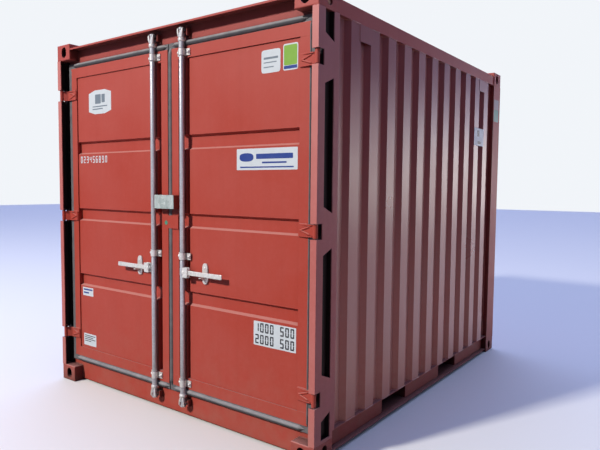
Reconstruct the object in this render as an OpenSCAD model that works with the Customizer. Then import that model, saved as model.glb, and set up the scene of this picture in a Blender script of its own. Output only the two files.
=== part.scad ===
// Ten-foot steel storage container with a double door in one end.
// The origin is on the ground under the middle of the box. X runs across the
// door end, Y runs from the doors to the rear wall, and Z is up.
// A depth is counted from the front faces of the corner castings.

/* [Outer size] */
// Width across the corner castings
box_w = 2438; // [2200:1:2600]
// Length over the corner castings
box_l = 2991; // [2850:1:3200]
// Height over the corner castings
box_h = 2591; // [2500:1:2750]

/* [Corner castings] */
// Width of a casting, across the container
cast_w = 162; // [150:1:175]
// Length of a casting, along the container
cast_l = 178; // [170:1:190]
// Height of a casting
cast_h = 118; // [112:1:124]
// Thickness of a casting's side walls
cast_wall = 15; // [10:1:20]
// Thickness of the slotted top or bottom of a casting
cast_cap = 28; // [20:1:30]
// Rounding of a casting's outer edges
cast_round = 7; // [3:1:10]
// Length of the lock slot in the top or bottom
slot_l = 124; // [118:1:130]
// Width of the lock slot
slot_w = 63.5; // [58:0.5:66]
// Height of the holes in the end and the side
hole_h = 79.5; // [70:0.5:82]
// Width of the hole in the end
end_hole_w = 60; // [50:1:64]
// Width of the hole in the side
side_hole_w = 51; // [44:1:56]

/* [Posts and rails] */
// Plate thickness of the slotted hinge posts
post_t = 6; // [5:1:8]
// Width of a hinge post's front flange
post_flange = 41; // [38:1:50]
// Depth of the front edge of the slots
slot_front = 64; // [60:1:70]
// Depth of the rear edge of the slots, where the jamb begins
jamb_front = 150; // [130:1:160]
// Depth of the rear face of the jamb
post_depth = 201; // [185:1:220]
// Distance from the side of the container to the door opening
jamb_in = 51; // [49:1:60]
// Depth of the front edge of the jamb's sealing flange
seal_front = 88; // [84:1:96]
// Height of a gusset along its front edge
gusset_front = 264; // [200:1:300]
// Height of a gusset along its rear edge
gusset_rear = 190; // [150:1:200]
// Height of the plate left under the lowest slot
slot_rise = 17; // [4:1:30]
// Plate thickness of rails, sill, header and rear posts
rail_t = 4; // [3:1:6]
// Distance of the rails' outer edges inside the castings
rail_inset = 6; // [4:1:12]
// Distance of the bottom rails' webs inside the castings
web_inset = 45; // [35:1:50]
// Ground clearance of the bottom rails
rail_low = 30; // [20:1:40]
// Height of the top of the bottom rails
rail_top = 156; // [140:1:165]
// Drop from the castings' tops to the top rails
roof_drop = 36; // [25:1:45]
// Width of the top rails
top_rail_w = 42; // [35:1:48]

/* [Header and sill] */
// Depth of the header's lip
lip_set = 3; // [2:1:20]
// Height of the header's lip
lip_h = 12; // [10:1:20]
// Depth of the front faces of header and sill
web_set = 76; // [72:1:84]
// Depth of the back faces of header and sill
beam_back = 130; // [115:1:145]
// Height of the top of the sill
sill_top = 162; // [158:1:175]
// Ground clearance of the sill
sill_low = 15; // [10:1:25]
// Drop from the castings' tops to the underside of the header
header_drop = 142; // [135:1:150]

/* [Doors] */
// Depth of the doors' front faces
door_set = 58; // [54:1:60]
// Thickness of a door frame
door_t = 50; // [45:1:56]
// Gap between the jamb and a door, which the seal fills
door_gap_side = 40; // [36:1:46]
// Gap between the sill and a door
door_gap_low = 36; // [30:1:42]
// Gap between the header and a door
door_gap_top = 32; // [28:1:40]
// Half of the gap between the two doors
door_gap_mid = 20; // [18:1:24]
// Wall of the door frame tubes
frame_wall = 3; // [2:0.5:4]
// Width of the outer stile
stile_out = 69; // [60:1:80]
// Width of the inner stile
stile_in = 64; // [60:1:68]
// Height of the door's top and bottom members
door_rail = 73; // [65:1:85]
// Thickness of the door sheet
sheet_t = 2; // [1.5:0.5:3]
// Depth of the flat fields of the door sheet
field_d = 8; // [4:1:12]
// Width of the upright rib behind a locking bar
rib_w = 34; // [28:1:40]
// Width of the groove on each side of a rib
groove_w = 22; // [18:1:30]
// Run of a groove's steep walls
groove_run = 5; // [3:1:8]
// Depth of the grooves and of the three cross bands
band_d = 30; // [20:1:34]
// Height of a cross band at the door's face
band_h = 94; // [80:1:110]
// Run of a cross band's sloping edges
band_slope = 12; // [6:1:16]
// Spacing of the cross bands
band_pitch = 505; // [460:1:540]

/* [Door seals] */
// Depth of the seal's front face
seal_set = 62; // [62:1:64]
// Thickness of the seal
seal_t = 28; // [18:1:30]
// Thickness of the lip that laps over header and sill
seal_lip_t = 8; // [5:1:8]
// Width of the lap over header and sill
seal_lap = 5; // [0:1:8]
// Thickness of the strip on the left-hand door's inner edge
seal_edge = 3; // [2:0.5:4]
// Running gap between a seal and the steel it closes on
seal_gap = 7.5; // [7.5:0.5:9]

/* [Hinges] */
// Distance of a hinge pin from the front and from the side
pin_set = 20; // [19:1:21]
// Diameter of a hinge pin
pin_d = 16; // [12:1:18]
// Running clearance around pins and bars
run_gap = 0.1; // [0.05:0.05:0.1]
// Radius of a hinge knuckle
knuckle_r = 13; // [12:0.5:13]
// Height of a hinge strap
strap_h = 70; // [50:1:74]
// Thickness of a hinge strap
strap_t = 8; // [6:1:9]
// Width of the strap's foot on the door
strap_foot = 66; // [50:1:68]
// Height of a hinge strap's ribs over its face
strap_rib = 7; // [4:1:8]
// Height of the cut-out in the post for a hinge
hinge_cut = 84; // [80:1:90]
// Depth of the cut-out in the post for a hinge
hinge_cut_deep = 54; // [54:1:56]
// Thickness of the lugs that hold a pin
lug_t = 10; // [6:1:14]
// Distance from a door's ends to its outer hinges, before they are dropped
hinge_off = 189.5; // [186:0.5:260]
// Drop of the hinges towards the ground
hinge_drop = 13; // [0:1:16]

/* [Locking gear] */
// Diameter of a locking bar
bar_d = 27; // [24:1:30]
// Distance of a locking bar from the middle
bar_x = 142; // [141:1:146]
// Depth of a locking bar's axis
bar_set = 34; // [33:1:36]
// Diameter of the sleeves at a bar's ends
sleeve_d = 36; // [34:1:40]
// Gap between a sleeve and the bracket beside it
collar_gap = 5; // [5:1:8]
// Reach of a cam from the bar's axis
cam_r = 28; // [24:1:29]
// Height of a cam
cam_h = 46; // [36:1:52]
// Thickness of a cam's two jaws
jaw_t = 12; // [8:1:16]
// Distance from the opening's edge to the middle of a cam
cam_off = 55; // [50:1:58]
// Running gap between a cam and its keeper
keeper_gap = 6; // [5:1:8]
// Plate thickness of keepers, brackets and retainers
plate_t = 6; // [5:1:8]
// Height of a bar bracket
bracket_h = 42; // [34:1:48]
// Width of a bar bracket across its feet
bracket_w = 110; // [84:1:112]
// Outer diameter of a bracket's barrel
barrel_d = 41; // [38:1:44]
// Diameter of the bracket bolts' heads
bolt_d = 15; // [12:1:16]
// Height of the bolts' heads
bolt_h = 7; // [5:1:10]
// Distance from the door's edge to the outer brackets
bracket_off = 39; // [30:1:48]
// Drop of the middle bracket below the middle of the door
bracket_drop = 230; // [200:1:260]

/* [Handles] */
// Drop of the handles below the middle of the door
handle_drop = 330; // [310:1:360]
// Reach of a handle from the bar's axis
handle_l = 367; // [320:1:400]
// Height of a handle at its root
handle_root = 26; // [22:1:30]
// Height of a handle at its tip
handle_tip = 18; // [14:1:22]
// Thickness of a handle
handle_t = 11; // [8:1:12]
// Distance from the bar's axis to the handle's pivot
pivot_off = 32; // [30:1:40]
// Diameter of the handle's pivot pin
pivot_d = 12; // [10:1:14]
// Radius of the hub's tab around the pivot
hub_r = 22; // [20:1:26]
// Seating gap between a handle and its hub
seat_gap = 0.3; // [0.2:0.1:0.4]
// Rise of the padlock ear over the handle's middle
ear_h = 60; // [50:1:66]
// Distance from the bar's axis to the handle retainer
retainer_off = 181; // [160:1:220]
// Width of a handle retainer
retainer_w = 44; // [36:1:50]
// Height of a handle retainer
retainer_h = 134; // [110:1:140]
// Gap between a handle and the retainer's shelf
shelf_gap = 5; // [5:1:8]

/* [Lock box and cover plate] */
// Distance of the lock box's outer sides from the middle
lock_w = 96; // [90:1:100]
// Height of the lock box
lock_h = 88; // [70:1:110]
// Depth of the lock box's front face
lock_set = 6; // [4:1:12]
// Plate thickness of the lock box
lock_t = 4; // [3:1:5]
// Rise of the lock box above the middle of the door
lock_rise = 120; // [100:1:150]
// Height of the cover plate under the lock box
cover_h = 86; // [60:1:100]
// Thickness of the cover plate
cover_t = 8; // [4:1:10]

/* [Corrugated walls and roof] */
// Thickness of the wall sheets
wall_t = 2; // [1.5:0.5:3]
// Distance of the walls' crests inside the castings
crest_inset = 8; // [8:1:14]
// Depth of the walls' troughs
trough_d = 30; // [20:1:32]
// Spacing of the crests
crest_pitch = 224; // [200:1:260]
// Width of a crest
crest_w = 104; // [80:1:120]
// Run of the sloping faces between crest and trough
crest_slope = 30; // [20:1:36]
// Height of the vent covers
vent_h = 98; // [80:1:140]
// Overlap of a vent cover on the crests beside it
vent_lap = 10; // [6:1:16]
// Depth of the roof's troughs
roof_trough = 20; // [12:1:26]
// Spacing of the roof's crests
roof_pitch = 209; // [180:1:240]

/* [Floor and fork pockets] */
// Thickness of the floor
floor_t = 21; // [18:1:28]
// Height of the cross members
joist_h = 100; // [80:1:105]
// Width of a cross member's flanges
joist_w = 45; // [40:1:60]
// Clear width of a fork pocket
fork_w = 352; // [300:1:380]
// Clear height of a fork pocket
fork_h = 85; // [75:1:95]
// Spacing of the two fork pockets
fork_pitch = 940; // [850:1:1000]

/* [Hidden] */
$fn = 40;

PAINT = "#9c4236";
SHADE = "#8a3a30";
ZINC = "#b9bcc0";
RUBBER = "#4b4f52";
PLY = "#8d6b45";

// Levels and depths that follow from the sizes above
half_w = box_w / 2;
half_l = box_l / 2;
post_low = cast_h;
post_top = box_h - cast_h;
roof_z = box_h - roof_drop;
head_z = box_h - header_drop;
jamb_x = half_w - jamb_in;
door_low = sill_top + door_gap_low;
door_top = head_z - door_gap_top;
door_mid = (door_low + door_top) / 2;
door_out = jamb_x - door_gap_side;
door_in = door_gap_mid;
panel_out = door_out - stile_out;
panel_in = door_in + stile_in;
panel_low = door_low + door_rail;
panel_top = door_top - door_rail;
hinge_zs = [for (z = [door_low + hinge_off, door_mid, door_top - hinge_off]) z - hinge_drop];
band_zs = [for (i = [-1:1]) door_mid + i * band_pitch];
cam_zs = [sill_top - cam_off, head_z + cam_off];
bracket_zs = [door_low + bracket_off, door_mid - bracket_drop, door_top - bracket_off];
handle_z = door_mid - handle_drop;
handle_y = bar_set - bar_d / 2 - 3;
lock_z = door_mid + lock_rise;
slit = door_in - seal_gap;
in_castings = half_w - cast_w;
joist_x = half_w - web_inset - rail_t;
floor_low = sill_top - floor_t;
fork_z = rail_low + rail_t + 2;
wall_low = rail_top;
wall_top = post_top;
wall_front = post_depth;
wall_rear = box_l - cast_l;
eps = 1;

// Place of a depth behind the front faces of the castings
function dy(depth) = depth - half_l;

// Places that share out the length between two ends
function spread(a, b, n) = [for (i = [1:n]) a + (b - a) * i / (n + 1)];

// A block between two corners, with its Y given as depths
module block(x, d, z) {
    translate([x[0], dy(d[0]), z[0]])
        cube([x[1] - x[0], d[1] - d[0], z[1] - z[0]]);
}

// Both sides of the container from one side
module both_sides() {
    children();
    mirror([1, 0, 0]) children();
}

// A flat outline in depth and height, drawn out across the container
module across(x0, x1) {
    translate([x0, -half_l, 0])
        rotate([90, 0, 90])
            linear_extrude(x1 - x0) children();
}

// A slot outline with round ends, long in Y
module slot(width, length) {
    straight = length - width;
    square([width, straight], center = true);
    for (s = [-1, 1]) translate([0, s * straight / 2]) circle(d = width);
}

// A square outline with rounded corners
module round_square(w, h, r) {
    translate([r, 0]) square([w - 2 * r, h]);
    translate([0, r]) square([w, h - 2 * r]);
    for (x = [r, w - r], y = [r, h - r]) translate([x, y]) circle(r);
}

// One casting, its outer corner at the origin and its lock slot facing down
module casting() {
    slot_x = 89;
    slot_y = 101.5;
    difference() {
        intersection() {
            linear_extrude(cast_h) round_square(cast_w, cast_l, cast_round);
            rotate([90, 0, 90]) linear_extrude(cast_w) round_square(cast_l, cast_h, cast_round);
            translate([0, cast_l, 0]) rotate([90, 0, 0])
                linear_extrude(cast_l) round_square(cast_w, cast_h, cast_round);
        }
        translate([cast_wall, cast_wall, cast_cap])
            cube([cast_w - 2 * cast_wall, cast_l - 2 * cast_wall, cast_h - cast_cap - cast_wall]);
        translate([slot_x, slot_y, -eps]) linear_extrude(cast_cap + 2 * eps) slot(slot_w, slot_l);
        translate([slot_x, cast_wall + eps, cast_h / 2]) rotate([90, 0, 0])
            linear_extrude(cast_wall + 2 * eps) slot(end_hole_w, hole_h);
        translate([-eps, slot_y, cast_h / 2]) rotate([90, 0, 90])
            linear_extrude(cast_wall + 2 * eps) slot(side_hole_w, hole_h);
    }
}

// The left and right castings at the front or rear, at the bottom or top
module castings(rear, top) {
    color(PAINT)
        both_sides()
            mirror([0, rear ? 1 : 0, 0])
                translate([-half_w, -half_l, top ? box_h : 0])
                    mirror([0, 0, top ? 1 : 0]) casting();
}

// The slotted post that carries the right-hand hinges, with a liner behind its slots
module hinge_post() {
    liner_x = half_w - post_flange + post_t;
    liner_t = 3;
    reach = [jamb_front, slot_front];
    ends = [gusset_rear / 2, gusset_front / 2];
    lows = [for (i = [0:3]) i == 0 ? (post_low + slot_rise) * [1, 1]
                                   : hinge_zs[i - 1] * [1, 1] + ends];
    highs = [for (i = [0:3]) i == 3 ? (post_top + eps) * [1, 1]
                                    : hinge_zs[i] * [1, 1] - ends];
    difference() {
        union() {
            block([half_w - post_flange, half_w], [0, post_t], [post_low, post_top]);
            block([half_w - post_t, half_w], [0, jamb_front], [post_low, post_top]);
            for (z = hinge_zs, s = [-1, 1])
                translate([0, 0, z + s * (hinge_cut + lug_t) / 2])
                    block([half_w - pin_set - pin_d, half_w - post_t], [post_t, pin_set + pin_d],
                          [-lug_t / 2, lug_t / 2]);
            block([liner_x, liner_x + liner_t], [slot_front - post_t, jamb_front], [post_low, post_top]);
            block([liner_x, half_w - post_t], [slot_front - post_t, slot_front - post_t + liner_t],
                  [post_low, post_top]);
        }
        for (i = [0:3])
            across(half_w - post_t - eps, half_w + eps)
                polygon([[reach[1], lows[i][1]], [reach[0] + eps, lows[i][0]],
                         [reach[0] + eps, highs[i][0]], [reach[1], highs[i][1]]]);
        for (z = hinge_zs) {
            block([half_w - post_flange - eps, half_w + eps], [-eps, hinge_cut_deep],
                  [z - hinge_cut / 2, z + hinge_cut / 2]);
            translate([half_w - pin_set, dy(pin_set), z - hinge_cut / 2 - lug_t - eps])
                cylinder(d = pin_d, h = hinge_cut + 2 * lug_t + 2 * eps);
        }
    }
}

// The jamb behind the right-hand hinge post: a tube with a sealing flange
module door_jamb() {
    low = [post_low, rail_top];
    difference() {
        union() {
            block([jamb_x, half_w], [jamb_front, cast_l], [low[0], post_top]);
            block([jamb_x, half_w], [cast_l, post_depth], [low[1], post_top]);
            block([jamb_x, jamb_x + rail_t], [seal_front, jamb_front], [low[0], post_top]);
        }
        block([jamb_x + rail_t, half_w - rail_t], [jamb_front + rail_t, post_depth - rail_t],
              [low[0] - eps, post_top + eps]);
        block([jamb_x - eps, jamb_x + rail_t + eps], [0, beam_back], [low[0] - eps, sill_top]);
        block([jamb_x - eps, jamb_x + rail_t + eps], [0, beam_back], [head_z, post_top + eps]);
    }
}

// Three pins with heads for the right-hand door
module pins() {
    head = 4;
    for (z = hinge_zs)
        translate([half_w - pin_set, dy(pin_set), z]) {
            translate([0, 0, -hinge_cut / 2 - lug_t]) cylinder(d = pin_d, h = hinge_cut + 2 * lug_t);
            translate([0, 0, hinge_cut / 2 + lug_t]) cylinder(d = pin_d + 2 * head, h = head);
        }
}

// The right rear corner post, pressed to an angle around the corner
module rear_post() {
    inner = cast_l;
    leg = web_inset;
    module angle(o) {
        polygon([[half_w - o, half_l - o], [in_castings + o, half_l - o],
                 [in_castings + o, half_l - leg + o], [half_w - leg + o, half_l - leg + o],
                 [half_w - leg + o, half_l - inner + o], [half_w - o, half_l - inner + o]]);
    }
    translate([0, 0, post_low]) linear_extrude(post_top - post_low) difference() {
        angle(0);
        angle(rail_t);
    }
}

// The header over the doors: a tube with a lip that shades the locking cams
module header() {
    across(-in_castings, in_castings) difference() {
        union() {
            translate([web_set, head_z]) square([beam_back - web_set, roof_z - head_z]);
            translate([lip_set, roof_z - rail_t]) square([web_set - lip_set, rail_t]);
            translate([lip_set, roof_z - lip_h]) square([rail_t, lip_h]);
        }
        translate([web_set + rail_t, head_z + rail_t])
            square([beam_back - web_set - 2 * rail_t, roof_z - head_z - 2 * rail_t]);
    }
    both_sides() block([in_castings, jamb_x + rail_t], [web_set, beam_back], [head_z, post_top]);
}

// The sill under the doors: a tube between the castings and over them
module sill() {
    across(-in_castings, in_castings) difference() {
        translate([web_set, sill_low]) square([beam_back - web_set, sill_top - sill_low]);
        translate([web_set + rail_t, sill_low + rail_t])
            square([beam_back - web_set - 2 * rail_t, sill_top - sill_low - 2 * rail_t]);
    }
    both_sides() block([in_castings, jamb_x + rail_t], [web_set, beam_back], [post_low, sill_top]);
}

// Outline of a bottom rail, a channel open to the outside, from its outer edge
module channel() {
    deep = web_inset + rail_t - rail_inset;
    difference() {
        translate([0, rail_low]) square([deep, rail_top - rail_low]);
        translate([-eps, rail_low + rail_t])
            square([deep - rail_t + eps, rail_top - rail_low - 2 * rail_t]);
    }
}

// Outline of a top rail, a tube, from its outer face
module tube() {
    difference() {
        translate([0, post_top]) square([top_rail_w, roof_z - post_top]);
        translate([rail_t, post_top + rail_t])
            square([top_rail_w - 2 * rail_t, roof_z - post_top - 2 * rail_t]);
    }
}

// Draws an outline along the right-hand side between two depths
module along_side(d0, d1, inset) {
    translate([half_w - inset, dy(d1), 0])
        rotate([90, 0, 0])
            mirror([1, 0, 0]) linear_extrude(d1 - d0) children();
}

// Draws an outline along the rear end
module along_rear(inset) {
    translate([-in_castings, half_l - inset, 0])
        rotate([90, 0, 90])
            mirror([1, 0, 0]) linear_extrude(2 * in_castings) children();
}

// Corner points of a trapezoid sheet, with its crests at zero
function wave(n, pitch, top, slope, deep) =
    [for (i = [0:n - 1], p = [[-top / 2 - slope, deep], [-top / 2, 0],
                              [top / 2, 0], [top / 2 + slope, deep]])
        [(i - (n - 1) / 2) * pitch, 0] + p];

// Section of a trapezoid sheet across a span, crests at zero, troughs in plus Y
module corrugated(span, pitch, top, slope, deep) {
    n = floor(span / pitch);
    k = wall_t * tan(atan2(deep, slope) / 2);
    outer = wave(n, pitch, top, slope, deep);
    inner = wave(n, pitch, top - 2 * k, slope, deep);
    back = [for (i = [4 * n - 1:-1:0]) inner[i] + [0, wall_t]];
    polygon(concat([[-span / 2, deep]], outer, [[span / 2, deep], [span / 2, deep + wall_t]],
                   back, [[-span / 2, deep + wall_t]]));
}

// The right-hand side wall
module side_wall() {
    translate([half_w - crest_inset, dy((wall_front + wall_rear) / 2), wall_low])
        rotate([0, 0, 90]) linear_extrude(wall_top - wall_low)
            corrugated(wall_rear - wall_front, crest_pitch, crest_w, crest_slope, trough_d);
}

// The right-hand bottom rail, cut through for the fork pockets
module bottom_rail() {
    difference() {
        along_side(cast_l, wall_rear, rail_inset) channel();
        for (s = [-1, 1])
            block([joist_x - eps, half_w + eps],
                  [half_l + s * fork_pitch / 2 - fork_w / 2, half_l + s * fork_pitch / 2 + fork_w / 2],
                  [fork_z, fork_z + fork_h]);
    }
}

// The tube frame of the right-hand door, its stiles open at both ends
module door_frame() {
    back = door_set + door_t;
    hollow = [door_set + frame_wall, back - frame_wall];
    difference() {
        block([door_in, door_out], [door_set, back], [door_low, door_top]);
        block([panel_in, panel_out], [door_set - eps, back + eps], [panel_low, panel_top]);
        block([door_in + frame_wall, panel_in - frame_wall], hollow, [door_low - eps, door_top + eps]);
        block([panel_out + frame_wall, door_out - frame_wall], hollow, [door_low - eps, door_top + eps]);
        for (z = [[door_low, panel_low], [panel_top, door_top]])
            block([door_in + 2 * frame_wall, door_out - 2 * frame_wall], hollow,
                  [z[0] + frame_wall, z[1] - frame_wall]);
    }
}

// Outline of a groove from a to b, pressed in from the depths da and db, grown at the back by t
module groove(a, b, da, db, t) {
    ka = t * tan(atan2(band_d - da, groove_run) / 2);
    kb = t * tan(atan2(band_d - db, groove_run) / 2);
    front = t > 0 ? 0 : -eps;
    polygon([[a - ka, front], [a - ka, da + t], [a - ka + groove_run, band_d + t],
             [b + kb - groove_run, band_d + t], [b + kb, db + t], [b + kb, front]]);
}

// The pressed-in volume of the right-hand door's sheet, grown at the back by t
module relief(t) {
    front = t > 0 ? 0 : -eps;
    rib = [bar_x - rib_w / 2, bar_x + rib_w / 2];
    field_in = rib[1] + groove_w;
    band_half = band_h / 2 + t * tan(atan2(band_d - field_d, band_slope) / 2);
    intersection() {
        block([panel_in, panel_out], [door_set + front, door_set + band_d + t], [panel_low, panel_top]);
        union() {
            block([field_in, panel_out], [door_set + front, door_set + field_d + t],
                  [panel_low, panel_top]);
            if (t > 0) block([panel_in, field_in], [door_set, door_set + t], [panel_low, panel_top]);
            translate([0, dy(door_set), panel_low]) linear_extrude(panel_top - panel_low) {
                groove(panel_in, rib[0], 0, 0, t);
                groove(rib[1], field_in, 0, field_d, t);
            }
            for (z = band_zs)
                across(panel_in, panel_out)
                    polygon([[door_set + front, z - band_half], [door_set + field_d + t, z - band_half],
                             [door_set + band_d + t, z - band_half + band_slope],
                             [door_set + band_d + t, z + band_half - band_slope],
                             [door_set + field_d + t, z + band_half], [door_set + front, z + band_half]]);
        }
    }
}

// The pressed sheet of the right-hand door
module door_sheet() {
    difference() {
        relief(sheet_t);
        relief(0);
    }
}

// The rubber seal around a right-hand door, its inner strip reaching to inner
module seal(inner) {
    difference() {
        union() {
            block([inner, jamb_x - seal_gap], [seal_set, seal_set + seal_t],
                  [sill_top + seal_gap, head_z - seal_gap]);
            block([inner, jamb_x - seal_gap], [seal_set, seal_set + seal_lip_t],
                  [sill_top - seal_lap, head_z + seal_lap]);
        }
        block([door_in, door_out], [seal_set - eps, seal_set + seal_t + eps], [door_low, door_top]);
    }
}

// The three hinge straps of the right-hand door, with their bored knuckles
module straps() {
    face = door_set - pin_set;
    front = face - strap_t;
    bend = front + 10;
    edge = half_w - pin_set - door_out;
    foot = edge + strap_foot;
    web = 7;
    translate([half_w - pin_set, dy(pin_set), 0])
        for (z = hinge_zs) {
            translate([0, 0, z - strap_h / 2]) linear_extrude(strap_h) difference() {
                union() {
                    circle(knuckle_r);
                    polygon([[-12, 3], [-bend, front], [-foot, front], [-foot, face],
                             [-bend, face], [-4, 11]]);
                }
                circle(d = pin_d + 2 * run_gap);
            }
            for (s = [-1, 1])
                translate([0, 0, z + s * (strap_h - web) / 2 - web / 2]) linear_extrude(web)
                    polygon([[-foot + 6, front + eps], [-edge, front - strap_rib],
                             [-bend - 6, front - strap_rib + 2], [-bend, front], [-bend, front + eps]]);
        }
}

// The three brackets that carry the right-hand locking bar
module brackets() {
    base = door_set - plate_t;
    for (z = bracket_zs) difference() {
        union() {
            translate([bar_x, dy(bar_set), z - bracket_h / 2]) cylinder(d = barrel_d, h = bracket_h);
            block([bar_x - bracket_w / 2, bar_x + bracket_w / 2], [base, door_set],
                  [z - bracket_h / 2, z + bracket_h / 2]);
            for (s = [-1, 1])
                translate([bar_x + s * (bracket_w / 2 - 11), dy(base + eps), z])
                    rotate([90, 0, 0]) cylinder(d = bolt_d, h = bolt_h + eps);
        }
        translate([bar_x, dy(bar_set), z - bracket_h / 2 - eps])
            cylinder(d = bar_d + 2 * run_gap, h = bracket_h + 2 * eps);
    }
}

// The retainer on the right-hand door, with a shelf that the handle lies over
module retainer() {
    x = bar_x + retainer_off;
    base = door_set + field_d;
    shelf = handle_z - handle_root / 2 - shelf_gap;
    low = handle_z - retainer_h / 2 + retainer_w / 2;
    translate([x, dy(base), handle_z]) rotate([90, 0, 0]) linear_extrude(plate_t)
        slot(retainer_w, retainer_h);
    block([x - retainer_w / 2, x + retainer_w / 2], [lock_set + plate_t, base - eps],
          [shelf - plate_t, shelf]);
    translate([x, dy(base - eps), low]) rotate([90, 0, 0])
        linear_extrude(base - eps - lock_set - plate_t) {
            circle(d = retainer_w - 10);
            translate([5 - retainer_w / 2, 0]) square([retainer_w - 10, shelf - low]);
        }
}

// One half of the lock box, open at its back and below
module lock_hood(x0, x1) {
    low = lock_z - lock_h / 2;
    high = lock_z + lock_h / 2;
    difference() {
        block([x0, x1], [lock_set, door_set], [low, high]);
        block([x0 + lock_t, x1 - lock_t], [lock_set + lock_t, door_set + eps],
              [low - eps, high - lock_t]);
    }
}

// The right-hand locking bar with its sleeves, cams and handle hub
module locking_bar() {
    low = cam_zs[0] + cam_h / 2;
    high = cam_zs[1] - cam_h / 2;
    tab = handle_y + handle_t / 2 + seat_gap;
    head = handle_y - handle_t / 2 - seat_gap;
    translate([bar_x, dy(bar_set), 0]) {
        translate([0, 0, low - cam_h]) cylinder(d = bar_d, h = high - low + 2 * cam_h);
        translate([0, 0, low])
            cylinder(d = sleeve_d, h = bracket_zs[0] - bracket_h / 2 - collar_gap - low);
        translate([0, 0, bracket_zs[2] + bracket_h / 2 + collar_gap])
            cylinder(d = sleeve_d, h = high - bracket_zs[2] - bracket_h / 2 - collar_gap);
        for (z = [low - cam_h, low - jaw_t, high, high + cam_h - jaw_t])
            translate([0, 0, z]) linear_extrude(jaw_t) {
                circle(d = sleeve_d);
                translate([-sleeve_d / 4, 0]) square([sleeve_d / 2, cam_r - sleeve_d / 4]);
                translate([0, cam_r - sleeve_d / 4]) circle(d = sleeve_d / 2);
            }
        translate([0, 0, handle_z - hub_r]) cylinder(d = sleeve_d, h = 2 * hub_r);
    }
    translate([0, dy(bar_set + bar_d / 3), handle_z]) rotate([90, 0, 0])
        linear_extrude(bar_set + bar_d / 3 - tab) {
            translate([bar_x + bar_d / 2, -hub_r]) square([pivot_off - bar_d / 2, 2 * hub_r]);
            translate([bar_x + pivot_off, 0]) circle(hub_r);
        }
    translate([bar_x + pivot_off, dy(tab + eps), handle_z]) rotate([90, 0, 0]) {
        cylinder(d = pivot_d, h = tab + eps - head);
        translate([0, 0, tab + eps - head]) cylinder(d = pivot_d + 10, h = plate_t);
    }
}

// The right-hand handle, bored for its pivot pin, with an ear for a padlock
module handle() {
    straight = handle_l - pivot_off - handle_tip / 2;
    ear_x = retainer_off - pivot_off;
    ear_w = retainer_w - 8;
    translate([bar_x + pivot_off, dy(handle_y + handle_t / 2), handle_z]) rotate([90, 0, 0])
        linear_extrude(handle_t) difference() {
            union() {
                circle(pivot_off - sleeve_d / 2 + 2);
                polygon([[0, -handle_root / 2], [straight, -handle_tip / 2],
                         [straight, handle_tip / 2], [0, handle_root / 2]]);
                translate([straight, 0]) circle(d = handle_tip);
                translate([ear_x - ear_w / 2, 0]) square([ear_w, ear_h - ear_w / 2]);
                translate([ear_x, ear_h - ear_w / 2]) circle(d = ear_w);
            }
            circle(d = pivot_d + 2 * run_gap);
            translate([ear_x, ear_h / 2 - 4]) circle(d = pivot_d);
        }
}

module front_bottom_castings() { castings(false, false); }
module rear_bottom_castings() { castings(true, false); }
module front_top_castings() { castings(false, true); }
module rear_top_castings() { castings(true, true); }

module left_hinge_post() { color(PAINT) mirror([1, 0, 0]) hinge_post(); }
module right_hinge_post() { color(PAINT) hinge_post(); }
module left_door_jamb() { color(PAINT) mirror([1, 0, 0]) door_jamb(); }
module right_door_jamb() { color(PAINT) door_jamb(); }
module hinge_pins() { color(PAINT) both_sides() pins(); }
module left_rear_post() { color(PAINT) mirror([1, 0, 0]) rear_post(); }
module right_rear_post() { color(PAINT) rear_post(); }
module door_header() { color(PAINT) header(); }
module door_sill() { color(PAINT) sill(); }
module rear_top_rail() { color(PAINT) along_rear(rail_inset) tube(); }
module rear_bottom_rail() { color(PAINT) along_rear(rail_inset) channel(); }
module right_top_rail() { color(PAINT) along_side(cast_l, wall_rear, rail_inset) tube(); }
module left_top_rail() { mirror([1, 0, 0]) right_top_rail(); }
module left_bottom_rail() { color(PAINT) mirror([1, 0, 0]) bottom_rail(); }
module right_bottom_rail() { color(PAINT) bottom_rail(); }

// Channels under the floor, spaced between the sill, the pockets and the rear rail
module cross_members() {
    gap = fork_w / 2 + rail_t;
    front = half_l - fork_pitch / 2;
    rear = half_l + fork_pitch / 2;
    places = concat(spread(beam_back, front - gap, 2), spread(front + gap, rear - gap, 2),
                    spread(rear + gap, box_l - web_inset - rail_t, 3));
    color(PAINT)
        for (d = places)
            across(-joist_x, joist_x)
                translate([d - joist_w / 2, floor_low - joist_h]) difference() {
                    square([joist_w, joist_h]);
                    translate([rail_t, rail_t]) square([joist_w, joist_h - 2 * rail_t]);
                }
}

// Two closed tunnels that take the forks of a lift truck
module fork_pockets() {
    color(PAINT)
        for (s = [-1, 1])
            across(-joist_x, joist_x)
                translate([half_l + s * fork_pitch / 2 - fork_w / 2, fork_z]) difference() {
                    translate([-rail_t, -rail_t]) square([fork_w + 2 * rail_t, fork_h + 2 * rail_t]);
                    square([fork_w, fork_h]);
                }
}

// The wooden floor
module floor_panel() {
    color(PLY)
        block([-jamb_x, jamb_x], [beam_back, box_l - web_inset - rail_t], [floor_low, sill_top]);
}

module left_side_wall() { color(SHADE) mirror([1, 0, 0]) side_wall(); }
module right_side_wall() { color(SHADE) side_wall(); }

// The corrugated rear wall
module rear_wall() {
    color(SHADE)
        translate([0, half_l - crest_inset, wall_low]) rotate([0, 0, 180])
            linear_extrude(wall_top - wall_low)
                corrugated(2 * in_castings, crest_pitch, crest_w, crest_slope, trough_d);
}

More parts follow.
